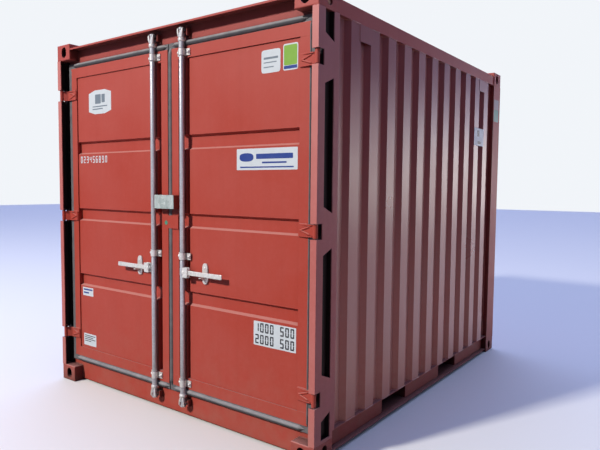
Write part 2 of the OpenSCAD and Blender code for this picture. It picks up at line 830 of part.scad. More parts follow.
// The roof, its crests running across, cut out around the castings
module roof_panel() {
    half = half_w - rail_inset - top_rail_w;
    rear = box_l - rail_inset - top_rail_w;
    crest = roof_z - rail_t - wall_t;
    deep = crest - roof_trough - wall_t - eps;
    color(SHADE) difference() {
        translate([-half, dy((beam_back + rear) / 2), crest]) rotate([90, 0, 90])
            linear_extrude(2 * half) mirror([0, 1, 0])
                corrugated(rear - beam_back, roof_pitch, roof_pitch / 2, roof_trough, roof_trough);
        both_sides() {
            block([in_castings, half_w], [0, cast_l], [deep, box_h]);
            block([in_castings, half_w], [wall_rear, box_l], [deep, box_h]);
        }
    }
}

// Plates over the vents, high on the first and last troughs of the side walls
module vent_covers() {
    n = floor((wall_rear - wall_front) / crest_pitch);
    mid = (wall_front + wall_rear) / 2;
    reach = (crest_pitch - crest_w) / 2 + vent_lap;
    color(SHADE) both_sides()
        for (s = [-1, 1])
            block([half_w - crest_inset, half_w - crest_inset + wall_t],
                  [mid + s * (n / 2 - 1) * crest_pitch - reach, mid + s * (n / 2 - 1) * crest_pitch + reach],
                  [wall_top - vent_h, wall_top]);
}

// Four open keepers on sill and header that the cams turn into
module cam_keepers() {
    gap = cam_r + keeper_gap;
    base = web_set - plate_t;
    color(ZINC) both_sides()
        for (z = cam_zs)
            translate([0, 0, z]) {
                block([bar_x - gap - plate_t, bar_x + gap + plate_t], [base, web_set],
                      [-cam_h / 2, cam_h / 2]);
                for (s = [-1, 1])
                    translate([s * (gap + plate_t / 2), 0, 0])
                        block([bar_x - plate_t / 2, bar_x + plate_t / 2], [bar_set + bar_d / 3, base],
                              [-cam_h / 2, cam_h / 2]);
            }
}

module left_door_frame() { color(PAINT) mirror([1, 0, 0]) door_frame(); }
module right_door_frame() { color(PAINT) door_frame(); }
module left_door_panel() { color(PAINT) mirror([1, 0, 0]) door_sheet(); }
module right_door_panel() { color(PAINT) door_sheet(); }
module left_door_seal() { color(RUBBER) mirror([1, 0, 0]) seal(door_in - seal_edge); }
module right_door_seal() { color(RUBBER) seal(seal_edge + seal_gap - door_in); }
module left_door_hinges() { color(PAINT) mirror([1, 0, 0]) straps(); }
module right_door_hinges() { color(PAINT) straps(); }
module left_bar_brackets() { color(ZINC) mirror([1, 0, 0]) brackets(); }
module right_bar_brackets() { color(ZINC) brackets(); }
module left_handle_retainer() { color(ZINC) mirror([1, 0, 0]) retainer(); }
module right_handle_retainer() { color(ZINC) retainer(); }
module left_lock_box() { color(ZINC) lock_hood(-lock_w, -door_in); }
module right_lock_box() { color(ZINC) lock_hood(-slit, lock_w - 4); }

// A plate on the right-hand door that covers the slit under the lock box
module seam_cover() {
    z = door_mid - hinge_drop;
    color(PAINT)
        block([-slit, panel_in], [door_set - cover_t, door_set], [z - cover_h / 2, z + cover_h / 2]);
}

module left_locking_bar() { color(ZINC) mirror([1, 0, 0]) locking_bar(); }
module right_locking_bar() { color(ZINC) locking_bar(); }
module left_handle() { color(ZINC) mirror([1, 0, 0]) handle(); }
module right_handle() { color(ZINC) handle(); }

front_bottom_castings();
rear_bottom_castings();
front_top_castings();
rear_top_castings();
left_hinge_post();
right_hinge_post();
left_door_jamb();
right_door_jamb();
hinge_pins();
left_rear_post();
right_rear_post();
door_header();
door_sill();
rear_top_rail();
rear_bottom_rail();
left_top_rail();
right_top_rail();
left_bottom_rail();
right_bottom_rail();
cross_members();
fork_pockets();
floor_panel();
left_side_wall();
right_side_wall();
rear_wall();
roof_panel();
vent_covers();
cam_keepers();
left_door_frame();
left_door_panel();
left_door_seal();
left_door_hinges();
left_bar_brackets();
left_handle_retainer();
left_lock_box();
right_door_frame();
right_door_panel();
right_door_seal();
right_door_hinges();
right_bar_brackets();
right_handle_retainer();
right_lock_box();
seam_cover();
left_locking_bar();
right_locking_bar();
left_handle();
right_handle();
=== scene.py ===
"""Looks of a ten-foot steel storage container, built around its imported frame."""
import math

import bmesh
import bpy
import numpy as np
from mathutils import Matrix, Vector


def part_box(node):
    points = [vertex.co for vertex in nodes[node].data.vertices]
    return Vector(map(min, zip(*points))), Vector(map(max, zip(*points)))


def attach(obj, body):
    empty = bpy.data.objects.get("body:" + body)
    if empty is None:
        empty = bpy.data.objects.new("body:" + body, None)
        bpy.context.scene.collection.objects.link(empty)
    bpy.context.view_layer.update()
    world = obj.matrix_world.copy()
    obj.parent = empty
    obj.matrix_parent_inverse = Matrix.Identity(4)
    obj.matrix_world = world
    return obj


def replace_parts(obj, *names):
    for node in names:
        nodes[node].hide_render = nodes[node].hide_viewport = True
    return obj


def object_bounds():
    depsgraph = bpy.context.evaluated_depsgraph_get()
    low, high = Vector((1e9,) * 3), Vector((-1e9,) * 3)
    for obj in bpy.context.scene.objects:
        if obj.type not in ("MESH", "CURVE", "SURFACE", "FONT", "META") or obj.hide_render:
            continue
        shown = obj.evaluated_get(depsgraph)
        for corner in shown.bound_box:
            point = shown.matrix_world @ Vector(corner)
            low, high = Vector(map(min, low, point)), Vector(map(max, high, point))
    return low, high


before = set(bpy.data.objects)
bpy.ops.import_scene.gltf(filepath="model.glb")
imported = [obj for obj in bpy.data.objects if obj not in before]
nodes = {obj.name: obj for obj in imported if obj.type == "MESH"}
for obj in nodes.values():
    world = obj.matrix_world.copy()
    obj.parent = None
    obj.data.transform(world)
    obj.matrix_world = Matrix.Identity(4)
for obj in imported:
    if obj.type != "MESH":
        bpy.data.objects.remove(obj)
cad_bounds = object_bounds()

# The camera stands to the right of the doors at head height, at the angle
# and with the field of view of the photograph.
YAW, PITCH, ROLL = math.radians(36.4216), math.radians(-3.7892), math.radians(0.5435)
EYE_AT, LENS, SENSOR, FARTHEST = (2.92649, -3.95655, 1.53062), 34.138, 36.0, 100.0
ahead = Vector((-math.sin(YAW) * math.cos(PITCH), math.cos(YAW) * math.cos(PITCH), math.sin(PITCH)))
level = Vector((math.cos(YAW), math.sin(YAW), 0.0))
upright = level.cross(ahead)
right = math.cos(ROLL) * level + math.sin(ROLL) * upright
up = -math.sin(ROLL) * level + math.cos(ROLL) * upright
eye = bpy.data.cameras.new("eye")
eye.lens = LENS
eye.sensor_width = SENSOR
eye.clip_end = FARTHEST
eye_object = bpy.data.objects.new("eye", eye)
bpy.context.scene.collection.objects.link(eye_object)
eye_object.matrix_world = Matrix.Translation(EYE_AT) @ Matrix((right, up, -ahead)).transposed().to_4x4()
bpy.context.scene.camera = eye_object

# The studio: one pale floor, a pale sky and a key lamp from the upper left of
# the doors, so that the doors are bright and the long side is in shade. The
# floor throws less light back than it shows. The sky lights the back softly,
# and a bright strip low behind on the right, with the floor beside the long
# side, shines in the glossy side wall.
FLOOR_PALE, FLOOR_THROWS, FLOOR_HALF = (0.81, 0.79, 0.73, 1.0), (0.08, 0.08, 0.08, 1.0), 40
FLOOR_SHINES, SHINE_FROM, SHINE_FULL, UNLIT = (1.1, 0.85, 0.77, 1.0), 1.25, 1.7, (0.0, 0.0, 0.0, 1.0)
LIT_HIGH, LIT_BEHIND, LIT_DOORS, SEEN_SKY = 1.7, 1.3, 0.2, 0.95
GLOSS_SKY, GLOSS_STRIP, GLOSS_BEHIND = 0.42, 4.7, 2.0
BEHIND, LOW_RIGHT = ((-0.62, 0.72, 0.31), 0.55, 1.0), ((0.42, 0.91, 0.0), 0.30, 0.65)
STRIP_TOP, STRIP_FULL, DOORS_FROM, REAR_FROM = 0.155, 0.065, -0.5, 0.3
SKY_SHOWN, SKY_THROWN, STRIP_WHITE = (0.93, 0.96, 1.0, 1.0), (0.60, 0.72, 1.3, 1.0), (1.0, 0.94, 0.92, 1.0)
LAMP_AT, LAMP_AIM = Vector((-4.9, -15.45, 11.5)), Vector((0.0, -1.45, 1.3))
LAMP_SIZE, LAMP_POWER, LAMP_WHITE = 1.4, 3550.0, (1.0, 0.98, 0.95)


def add(tree, kind, links=(), **settings):
    """A node of that kind, with its settings, and its inputs linked or set."""
    made = tree.nodes.new(kind)
    for key, value in settings.items():
        setattr(made, key, value)
    for socket, source in links:
        if hasattr(source, "is_output"):
            tree.links.new(source, made.inputs[socket])
        else:
            made.inputs[socket].default_value = source
    return made


def ramp(tree, value, low, high):
    """Zero below low, one above high, straight in between."""
    limits = [("Value", value), ("From Min", low), ("From Max", high)]
    return add(tree, "ShaderNodeMapRange", limits, clamp=True).outputs["Result"]


def sums(tree, kind, first, second):
    """A maths node on two values."""
    return add(tree, "ShaderNodeMath", [(0, first), (1, second)], operation=kind).outputs[0]


def blend(tree, share, first, second):
    """The first value, mixed with the second by share."""
    return add(tree, "ShaderNodeMix", [(0, share), (2, first), (3, second)]).outputs[0]


def blend_colour(tree, share, first, second, mode="MIX"):
    """The first colour, mixed with the second by share."""
    mixed = [(0, share), (6, first), (7, second)]
    return add(tree, "ShaderNodeMix", mixed, data_type="RGBA", blend_type=mode).outputs[2]


def along_axis(tree, vector, axis):
    """One coordinate of a vector."""
    return add(tree, "ShaderNodeSeparateXYZ", [("Vector", vector)]).outputs[axis]


floor_mesh = bpy.data.meshes.new("studio_floor")
floor_mesh.from_pydata([(x * FLOOR_HALF, y * FLOOR_HALF, 0) for x, y in ((-1, -1), (1, -1), (1, 1), (-1, 1))],
                       [], [(0, 1, 2, 3)])
studio_floor = bpy.data.objects.new("studio_floor", floor_mesh)
bpy.context.scene.collection.objects.link(studio_floor)
floor_paint = bpy.data.materials.new("studio_floor")
floor_paint.use_nodes = True
t = floor_paint.node_tree
floor_shader = t.nodes["Principled BSDF"].inputs
floor_shader["Roughness"].default_value = 0.9
floor_shader["Emission Strength"].default_value = 1.0
rays = add(t, "ShaderNodeLightPath").outputs
shown = sums(t, "MAXIMUM", rays["Is Camera Ray"], rays["Is Glossy Ray"])
t.links.new(blend_colour(t, shown, FLOOR_THROWS, FLOOR_PALE), floor_shader["Base Color"])
beside = ramp(t, along_axis(t, add(t, "ShaderNodeTexCoord").outputs["Object"], "X"), SHINE_FROM, SHINE_FULL)
beside = sums(t, "MULTIPLY", beside, rays["Is Glossy Ray"])
t.links.new(blend_colour(t, beside, UNLIT, FLOOR_SHINES), floor_shader["Emission Color"])
floor_mesh.materials.append(floor_paint)

studio = bpy.data.worlds.new("studio")
studio.use_nodes = True
bpy.context.scene.world = studio
t = studio.node_tree
rays = add(t, "ShaderNodeLightPath").outputs
towards = add(t, "ShaderNodeTexCoord").outputs["Generated"]
climb = along_axis(t, towards, "Z")
spots = []
for aim, edge, core in (BEHIND, LOW_RIGHT):
    facing = add(t, "ShaderNodeVectorMath", [(0, towards), (1, aim)], operation="DOT_PRODUCT")
    spots.append(ramp(t, facing.outputs["Value"], edge, core))
behind, low_right = spots
strip = sums(t, "MULTIPLY", ramp(t, climb, STRIP_TOP, STRIP_FULL), low_right)
glossy = sums(t, "ADD", sums(t, "MULTIPLY", behind, GLOSS_BEHIND), blend(t, strip, GLOSS_SKY, GLOSS_STRIP))
above = sums(t, "MULTIPLY", sums(t, "POWER", sums(t, "MAXIMUM", climb, 0.0), 2.0), LIT_HIGH)
rearward = ramp(t, along_axis(t, towards, "Y"), DOORS_FROM, REAR_FROM)
above = sums(t, "MULTIPLY", above, blend(t, rearward, LIT_DOORS, 1.0))
matt = sums(t, "ADD", sums(t, "MULTIPLY", behind, LIT_BEHIND), above)
light = blend(t, rays["Is Camera Ray"], blend(t, rays["Is Glossy Ray"], matt, glossy), SEEN_SKY)
tint = blend_colour(t, rays["Is Camera Ray"], blend_colour(t, strip, SKY_THROWN, STRIP_WHITE), SKY_SHOWN)
t.links.new(light, t.nodes["Background"].inputs["Strength"])
t.links.new(tint, t.nodes["Background"].inputs["Color"])

key_lamp = bpy.data.lights.new("key_lamp", "AREA")
key_lamp.shape = "SQUARE"
key_lamp.size = LAMP_SIZE
key_lamp.energy = LAMP_POWER
key_lamp.color = LAMP_WHITE
lamp_object = bpy.data.objects.new("key_lamp", key_lamp)
bpy.context.scene.collection.objects.link(lamp_object)
lamp_turn = (LAMP_AIM - LAMP_AT).to_track_quat("-Z", "Y").to_matrix().to_4x4()
lamp_object.matrix_world = Matrix.Translation(LAMP_AT) @ lamp_turn
bpy.context.scene.view_settings.view_transform = "Standard"

# Painted steel. Every plate of the frame, walls and doors has one coat of red-brown oxide paint, a little
# chalky and paler towards the top, with dust low down and faint runs. Its upward faces are paler, partly
# settled chalk and partly a painted highlight, and painted shade darkens its corners and recesses.
COLOUR, VALUE, VECTOR = "NodeSocketColor", "NodeSocketFloat", "NodeSocketVector"
EVEN = (1, 1, 1)


def group_of(name, inputs, outputs):
    """A new node group with named sockets: (name, socket type, default) each. It gives back the group,
    the sockets that bring its inputs and those that take its outputs."""
    group = bpy.data.node_groups.new(name, "ShaderNodeTree")
    for label, kind, value in inputs:
        socket = group.interface.new_socket(name=label, in_out="INPUT", socket_type=kind)
        socket.default_value = value
    for label, kind in outputs:
        group.interface.new_socket(name=label, in_out="OUTPUT", socket_type=kind)
    return group, group.nodes.new("NodeGroupInput").outputs, group.nodes.new("NodeGroupOutput").inputs


def scaled_noise(tree, coords, stretch, scale, detail=4.0, rough=0.55):
    """Noise over coordinates stretched by three factors."""
    spot = add(tree, "ShaderNodeMapping", [("Vector", coords), ("Scale", stretch)]).outputs[0]
    return add(tree, "ShaderNodeTexNoise", [("Vector", spot), ("Scale", scale), ("Detail", detail),
                                            ("Roughness", rough)]).outputs["Fac"]


def upwards(tree):
    """How far a face looks up: one for a ledge, zero for a wall."""
    return along_axis(tree, add(tree, "ShaderNodeTexCoord").outputs["Normal"], "Z")


RUN_SHADE, LEDGE_CHALK_AND_HIGHLIGHT, PAINTED_SHADE_DARK = (0.75, 0.66, 0.62, 1), (0.62, 0.34, 0.29, 1), (0.010, 0.005, 0.005, 1)
paint_group, given, result = group_of(
    "oxide_coat",
    [("Place", VECTOR, (0, 0, 0)), ("Coat", COLOUR, (0.4, 0.08, 0.05, 1)),
     ("Chalk", COLOUR, (0.5, 0.2, 0.15, 1)), ("Dust", COLOUR, (0.35, 0.27, 0.2, 1)),
     ("Chalkiness", VALUE, 0.3), ("Runs", VALUE, 0.2), ("Dustiness", VALUE, 0.3), ("Crevices", VALUE, 0.5),
     ("Reach", VALUE, 0.05), ("Hollow", VALUE, 0.0), ("Gloss", VALUE, 0.45)],
    [("Colour", COLOUR), ("Roughness", VALUE), ("Height", VALUE)])
t = paint_group
place = given["Place"]
clouds = ramp(t, scaled_noise(t, place, EVEN, 1.7, 5.0, 0.6), 0.32, 0.72)
specks = ramp(t, scaled_noise(t, place, EVEN, 38.0, 3.0, 0.6), 0.45, 0.75)
runs = ramp(t, scaled_noise(t, place, (14, 14, 0.5), 1.0, 4.0, 0.65), 0.45, 0.8)
dust_patch = ramp(t, scaled_noise(t, place, EVEN, 9.0, 5.0, 0.7), 0.35, 0.75)
heights = along_axis(t, place, "Z")
# The coat is also paler towards the top, by height alone.
paler_towards_top = sums(t, "MULTIPLY", ramp(t, heights, 1.3, 2.5), 0.9)
low_down = sums(t, "POWER", ramp(t, heights, 0.75, 0.0), 1.5)
pale_share = sums(t, "MULTIPLY", sums(t, "ADD", clouds, paler_towards_top), given["Chalkiness"])
speck_share = sums(t, "MULTIPLY", specks, sums(t, "MULTIPLY", given["Chalkiness"], 0.35))
dust_share = sums(t, "MULTIPLY", sums(t, "MULTIPLY", low_down, dust_patch), given["Dustiness"])
# Paler upward faces: partly settled chalk, partly a painted highlight of light falling on ledges and the
# bands' lower slopes.
ledge_highlight_share = sums(t, "MULTIPLY", ramp(t, upwards(t), 0.4, 0.85), 0.55)
# Painted shade: faces hemmed in within the reach are darkened towards near-black by the crevices value, as
# shade in corners and recesses; the hollow mask takes the same dark.
open_air = add(t, "ShaderNodeAmbientOcclusion", [("Distance", given["Reach"])], samples=4).outputs["AO"]
crevice = sums(t, "MULTIPLY", ramp(t, open_air, 0.85, 0.15), given["Crevices"])
coat = blend_colour(t, pale_share, given["Coat"], given["Chalk"])
coat = blend_colour(t, speck_share, coat, given["Chalk"])
coat = blend_colour(t, sums(t, "MULTIPLY", runs, given["Runs"]), coat, RUN_SHADE, "MULTIPLY")
coat = blend_colour(t, dust_share, coat, given["Dust"])
coat = blend_colour(t, ledge_highlight_share, coat, LEDGE_CHALK_AND_HIGHLIGHT)
coat = blend_colour(t, sums(t, "MAXIMUM", crevice, given["Hollow"]), coat, PAINTED_SHADE_DARK)
t.links.new(coat, result["Colour"])
rough = sums(t, "ADD", given["Gloss"], sums(t, "MULTIPLY", clouds, 0.10))
t.links.new(sums(t, "ADD", rough, sums(t, "MULTIPLY", dust_share, 0.5)), result["Roughness"])
peel = sums(t, "MULTIPLY", scaled_noise(t, place, EVEN, 420.0, 2.0, 0.5), 0.00006)
waves = sums(t, "MULTIPLY", scaled_noise(t, place, EVEN, 3.2, 1.0, 0.4), 0.0035)
t.links.new(sums(t, "ADD", peel, waves), result["Height"])


def finish_of(name, group, values, constants, bumps=0.0):
    """A material with a plain shader: constants on its sockets, and its colour, roughness and, with a
    strength of bumps, its normals from a node group with its own values."""
    made = bpy.data.materials.new(name)
    made.use_nodes = True
    tree = made.node_tree
    shader = tree.nodes["Principled BSDF"].inputs
    for label, value in constants.items():
        shader[label].default_value = value
    place = add(tree, "ShaderNodeTexCoord").outputs["Object"]
    skin = add(tree, "ShaderNodeGroup", [("Place", place), *values.items()], node_tree=group, name="skin")
    tree.links.new(skin.outputs["Colour"], shader["Base Color"])
    tree.links.new(skin.outputs["Roughness"], shader["Roughness"])
    if bumps:
        heights = [("Height", skin.outputs["Height"]), ("Strength", bumps), ("Distance", 1.0)]
        tree.links.new(add(tree, "ShaderNodeBump", heights).outputs["Normal"], shader["Normal"])
    return made


def coated(name, coat, chalk, chalkiness, runs, dustiness, gloss, shine=0.42, crevices=0.5, reach=0.05):
    """A painted steel in the oxide coat. Corners up to its reach away get painted shade, darker by its
    crevices.
    """
    return finish_of(name, paint_group, {
        "Coat": coat, "Chalk": chalk, "Chalkiness": chalkiness, "Runs": runs, "Dustiness": dustiness,
        "Crevices": crevices, "Reach": reach, "Gloss": gloss}, {"Specular IOR Level": shine}, 0.6)


def srgb(r, g, b):
    """Linear colour of an eight-bit screen colour."""
    parts = [c / 255 for c in (r, g, b)]
    linear = [c / 12.92 if c <= 0.04045 else ((c + 0.055) / 1.055) ** 2.4 for c in parts]
    return (*linear, 1.0)


def dress(finish, *names):
    """Gives CAD nodes a material."""
    for name in names:
        mesh = nodes[name].data
        mesh.materials.clear()
        mesh.materials.append(finish)


# The frame's crevice value and long reach paint deep shade into its recesses, such as the header's web under
# its lip.
frame_coat = coated("frame_coat", srgb(172, 70, 61), srgb(188, 96, 88), 0.4, 0.25, 0.4, 0.44, 0.22,
                    crevices=0.95, reach=0.20)
dress(frame_coat, "front_bottom_castings", "rear_bottom_castings", "front_top_castings",
      "rear_top_castings", "left_rear_post", "right_rear_post", "door_header", "rear_top_rail",
      "rear_bottom_rail", "left_top_rail", "right_top_rail", "left_bottom_rail", "right_bottom_rail",
      "cross_members", "fork_pockets", "cam_keepers", "hinge_pins")

# Posts at the doors. Folded steel hinge posts with long slots, and the jambs in them, in a paint that is more
# chalky. Behind the slots their faces are painted near-black as painted shade.
FRONT = cad_bounds[0][1]
HALF_W, REAR, HEIGHT = cad_bounds[1]
POST_SKIN, JAMB_SKIN, SHADE_EDGE, SHADE_BACK = 0.0055, 0.0045, 0.0003, 0.0008
post_box, jamb_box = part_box("right_hinge_post"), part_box("right_door_jamb")
post_coat = coated("post_coat", srgb(190, 103, 96), srgb(212, 140, 134), 0.5, 0.25, 0.4, 0.46, 0.18,
                   crevices=0.9, reach=0.09)
t = post_coat.node_tree
place = add(t, "ShaderNodeTexCoord").outputs["Object"]
# Painted shade: a mask of the faces inside the posts and jambs, behind the slots, darkens them to near-black.
inside = 1.0
for value, low, high in (
        (sums(t, "ABSOLUTE", along_axis(t, place, "X"), 0.0), jamb_box[0][0] + JAMB_SKIN, HALF_W - POST_SKIN),
        (along_axis(t, place, "Y"), FRONT + POST_SKIN, post_box[1][1] + SHADE_BACK)):
    for edge, fade in ((low, SHADE_EDGE), (high, -SHADE_EDGE)):
        inside = sums(t, "MULTIPLY", ramp(t, value, edge - fade, edge + fade), inside)
t.links.new(inside, t.nodes["skin"].inputs["Hollow"])
dress(post_coat, "left_hinge_post", "right_hinge_post", "left_door_jamb", "right_door_jamb")

# Welds of the frame. Ripple beads of molten steel, painted over, join castings,
# posts, header, sill and rails, and close the seams of the corner posts.
CAST_W, CAST_L, CAST_H, WEB_DEPTH = 0.162, 0.178, 0.118, 0.076
BEAD, SUNK, RAIL_FOOT, RAIL_IN, HEADER_DROP, RAIL_DROP = 0.009, 0.0042, 0.030, 0.006, 0.040, 0.036
SWELL, DRIFT = 0.017, 41.0
UPWARD, FORWARD, BACKWARD, OUTWARD = (0.0, 0.0, 1.0), (0.0, -1.0, 0.0), (0.0, 1.0, 0.0), (1.0, 0.0, 0.0)


def closed(rings, sides):
    """Faces of a tube with that many rings of points: quads between neighbouring rings and sides, the
    last side joined to the first, and two flat ends."""
    ring = np.arange(rings - 1)[:, None] * sides
    spot = np.arange(sides)[None, :]
    after = (spot + 1) % sides
    quads = np.stack([ring + spot, ring + after, ring + sides + after, ring + sides + spot], axis=-1)
    ends = [list(range(sides)), list(range((rings - 1) * sides, rings * sides))]
    return quads.reshape(-1, 4).tolist() + ends


def put(name, parts, finish, body, smooth=True):
    """One object of several (points, faces) parts, which rides on a body and takes a slot's finish."""
    points, faces, start = [], [], 0
    for part_points, part_faces in parts:
        points.append(part_points)
        faces += [[start + corner for corner in face] for face in part_faces]
        start += len(part_points)
    mesh = bpy.data.meshes.new(name)
    mesh.from_pydata(np.concatenate(points).tolist(), [], faces)
    shape = bmesh.new()
    shape.from_mesh(mesh)
    bmesh.ops.recalc_face_normals(shape, faces=shape.faces)
    shape.to_mesh(mesh)
    shape.free()
    mesh.polygons.foreach_set("use_smooth", np.full(len(mesh.polygons), smooth))
    mesh.materials.append(finish)
    made = bpy.data.objects.new(name, mesh)
    bpy.context.scene.collection.objects.link(made)
    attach(made, body)
    return made


def bead(route, width, out=UPWARD, ripple=0.13, step=0.006, sides=8):
    """A tube of round section along a route of straight runs, half sunk in the corner it fills. Its
    radius swells by a sine of the way along, one swell a ripple, and shrinks at both ends."""
    route = np.array(route, dtype=float)
    legs = np.linalg.norm(np.diff(route, axis=0), axis=1)
    marks = np.concatenate([[0.0], np.cumsum(legs)])
    count = max(int(marks[-1] / step), 5)
    way = np.linspace(0.0, marks[-1], count)
    middle = np.stack([np.interp(way, marks, route[:, axis]) for axis in range(3)], axis=1)
    along = np.gradient(middle, axis=0)
    along /= np.linalg.norm(along, axis=1)[:, None]
    out = np.array(out)
    side = np.cross(along, out)
    side /= np.linalg.norm(side, axis=1)[:, None]
    swell = 1 + ripple * np.sin(2 * np.pi * way / SWELL) + 0.6 * ripple * np.sin(way * DRIFT)
    taper = np.clip(np.minimum(way, marks[-1] - way) / width, 0.2, 1.0)
    turn = np.linspace(0, 2 * np.pi, sides, endpoint=False)
    ring = np.cos(turn)[None, :, None] * out + np.sin(turn)[None, :, None] * side[:, None, :]
    points = middle[:, None, :] + (width / 2 * swell * taper)[:, None, None] * ring
    return points.reshape(-1, 3), closed(count, sides)


def rising(x, y, low, high):
    """A route straight up."""
    return [(x, y, low), (x, y, high)]


def crossing(x0, x1, y, z):
    """A route straight across the width."""
    return [(x0, y, z), (x1, y, z)]


def deep(depth):
    """Y of a depth behind the front faces of the castings."""
    return FRONT + depth


sill_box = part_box("door_sill")
IN_CAST, WEB = HALF_W - CAST_W, deep(WEB_DEPTH)
frame_beads = []
for side in (-1, 1):
    outer, flange, inner = side * (HALF_W - SUNK), side * post_box[0][0], side * IN_CAST
    jamb, rail = side * jamb_box[0][0], side * (HALF_W - RAIL_IN)
    for z in (CAST_H, HEIGHT - CAST_H):
        for route in ([(flange, deep(SUNK), z), (outer, deep(SUNK), z), (outer, deep(CAST_L), z)],
                      [(outer, REAR - CAST_L, z), (outer, REAR - SUNK, z), (inner, REAR - SUNK, z)],
                      crossing(inner, jamb, WEB, z)):
            frame_beads.append(bead(route, BEAD))
    for low, high in ((sill_box[0][2], CAST_H), (HEIGHT - CAST_H, HEIGHT - HEADER_DROP)):
        frame_beads.append(bead(rising(inner, WEB, low, high), BEAD, FORWARD))
    for low, high in ((RAIL_FOOT, CAST_H), (HEIGHT - CAST_H, HEIGHT - RAIL_DROP)):
        for y in (deep(CAST_L), REAR - CAST_L):
            frame_beads.append(bead(rising(rail, y, low, high), BEAD, OUTWARD))
put("frame_welds", frame_beads, frame_coat, "container")

# Walls. Folded sheets with upright corrugations, glossier and darker than the
# frame in the shade, welded all along their wavy edges to rails and posts.
WAVE, CREST, SLOPE, TROUGH, CREST_IN = 0.224, 0.104, 0.030, 0.030, 0.008
EDGE_BEAD, POST_BEAD, SEAM_BEAD, SEAMS = 0.007, 0.008, 0.005, (-2.5, 2.5)
wall_coat = coated("wall_coat", srgb(150, 58, 50), srgb(166, 84, 76), 0.4, 0.3, 0.35, 0.27)
dress(wall_coat, "left_side_wall", "right_side_wall", "rear_wall", "roof_panel", "vent_covers")


def wavy_edge(span):
    """Places along a wall and depths of its corrugations: crests at zero, troughs at the trough
    depth, with straight slopes between, as many whole waves as the span holds."""
    waves_in = int(span / WAVE)
    middles = (np.arange(waves_in) - (waves_in - 1) / 2) * WAVE
    turns = np.array([-CREST / 2 - SLOPE, -CREST / 2, CREST / 2, CREST / 2 + SLOPE])
    spots = (middles[:, None] + turns[None, :]).reshape(-1)
    depths = np.tile([TROUGH, 0.0, 0.0, TROUGH], waves_in)
    return np.concatenate([[-span / 2], spots, [span / 2]]), np.concatenate([[TROUGH], depths, [TROUGH]])


wall_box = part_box("right_side_wall")
wall_low, wall_high, wall_middle = wall_box[0][2], wall_box[1][2], (wall_box[0][1] + wall_box[1][1]) / 2
spots, depths = wavy_edge(wall_box[1][1] - wall_box[0][1])
rear_spots, rear_depths = wavy_edge(2 * IN_CAST)
wall_beads = []
for z in (wall_low, wall_high):
    edges = [np.stack([side * (HALF_W - CREST_IN - depths), spots + wall_middle, z + 0 * spots], axis=1)
             for side in (-1, 1)]
    edges.append(np.stack([rear_spots, REAR - CREST_IN - rear_depths, z + 0 * rear_spots], axis=1))
    wall_beads += [bead(edge, EDGE_BEAD, step=0.009, sides=6) for edge in edges]
for side in (-1, 1):
    flat = side * (HALF_W - CREST_IN - TROUGH)
    seams = [(y, POST_BEAD) for y in (wall_box[0][1], wall_box[1][1])]
    seams += [(wall_middle + seam * WAVE, SEAM_BEAD) for seam in SEAMS]
    wall_beads += [bead(rising(flat, y, wall_low, wall_high), width, OUTWARD, 0.1, 0.012, 6)
                   for y, width in seams]
put("wall_welds", wall_beads, wall_coat, "container")

# Floor. Plywood with a hard film face, worn pale along the grain, is laid over
# the cross members.
ply_face = bpy.data.materials.new("ply_face")
ply_face.use_nodes = True
t = ply_face.node_tree
ply_shader = t.nodes["Principled BSDF"].inputs
place = add(t, "ShaderNodeTexCoord").outputs["Object"]
grain = ramp(t, scaled_noise(t, place, (1.2, 22, 1), 6.0, 6.0, 0.65), 0.3, 0.72)
t.links.new(blend_colour(t, grain, srgb(118, 84, 56), srgb(160, 122, 84)), ply_shader["Base Color"])
t.links.new(sums(t, "ADD", sums(t, "MULTIPLY", grain, 0.15), 0.5), ply_shader["Roughness"])
grain_bump = add(t, "ShaderNodeBump", [("Height", grain), ("Strength", 0.3), ("Distance", 0.0008)])
t.links.new(grain_bump.outputs["Normal"], ply_shader["Normal"])
dress(ply_face, "floor_panel")

# Zinc. The screws, locking bars, handles and brackets are dipped in zinc: a pale
# grey skin with crystal patches, dull in places.
GRIME_DARK = (0.10, 0.085, 0.07, 1)
zinc_group, given, result = group_of(
    "zinc_skin",
    [("Place", VECTOR, (0, 0, 0)), ("Bright", COLOUR, (0.6, 0.6, 0.62, 1)),
     ("Dull", COLOUR, (0.4, 0.42, 0.42, 1)), ("Crystal", VALUE, 90.0), ("Grime", VALUE, 0.2)],
    [("Colour", COLOUR), ("Roughness", VALUE), ("Height", VALUE)])
t = zinc_group
place = given["Place"]
flakes = add(t, "ShaderNodeTexVoronoi", [("Vector", place), ("Scale", given["Crystal"])]).outputs["Color"]
flake = add(t, "ShaderNodeSeparateColor", [("Color", flakes)]).outputs[0]
patches = ramp(t, scaled_noise(t, place, (1, 1, 0.35), 22.0, 4.0, 0.65), 0.3, 0.7)
grime = ramp(t, scaled_noise(t, place, EVEN, 55.0, 5.0, 0.7), 0.55, 0.8)
zinc = blend_colour(t, sums(t, "MULTIPLY", flake, 0.45), given["Bright"], given["Dull"])
zinc = blend_colour(t, sums(t, "MULTIPLY", patches, 0.55), zinc, given["Dull"])
zinc = blend_colour(t, sums(t, "MULTIPLY", grime, given["Grime"]), zinc, GRIME_DARK)
t.links.new(zinc, result["Colour"])
rough = sums(t, "ADD", sums(t, "MULTIPLY", patches, 0.15), 0.34)
t.links.new(sums(t, "ADD", sums(t, "MULTIPLY", flake, 0.12), rough), result["Roughness"])
t.links.new(sums(t, "MULTIPLY", scaled_noise(t, place, EVEN, 260.0, 3.0, 0.6), 0.0002), result["Height"])


def zinced(name, bright, dull, crystal, grime, metal):
    """Hot-dipped zinc: the zinc skin group with its values, and a metal shader."""
    return finish_of(name, zinc_group, {"Bright": bright, "Dull": dull, "Crystal": crystal, "Grime": grime},
                     {"Metallic": metal}, 0.5)


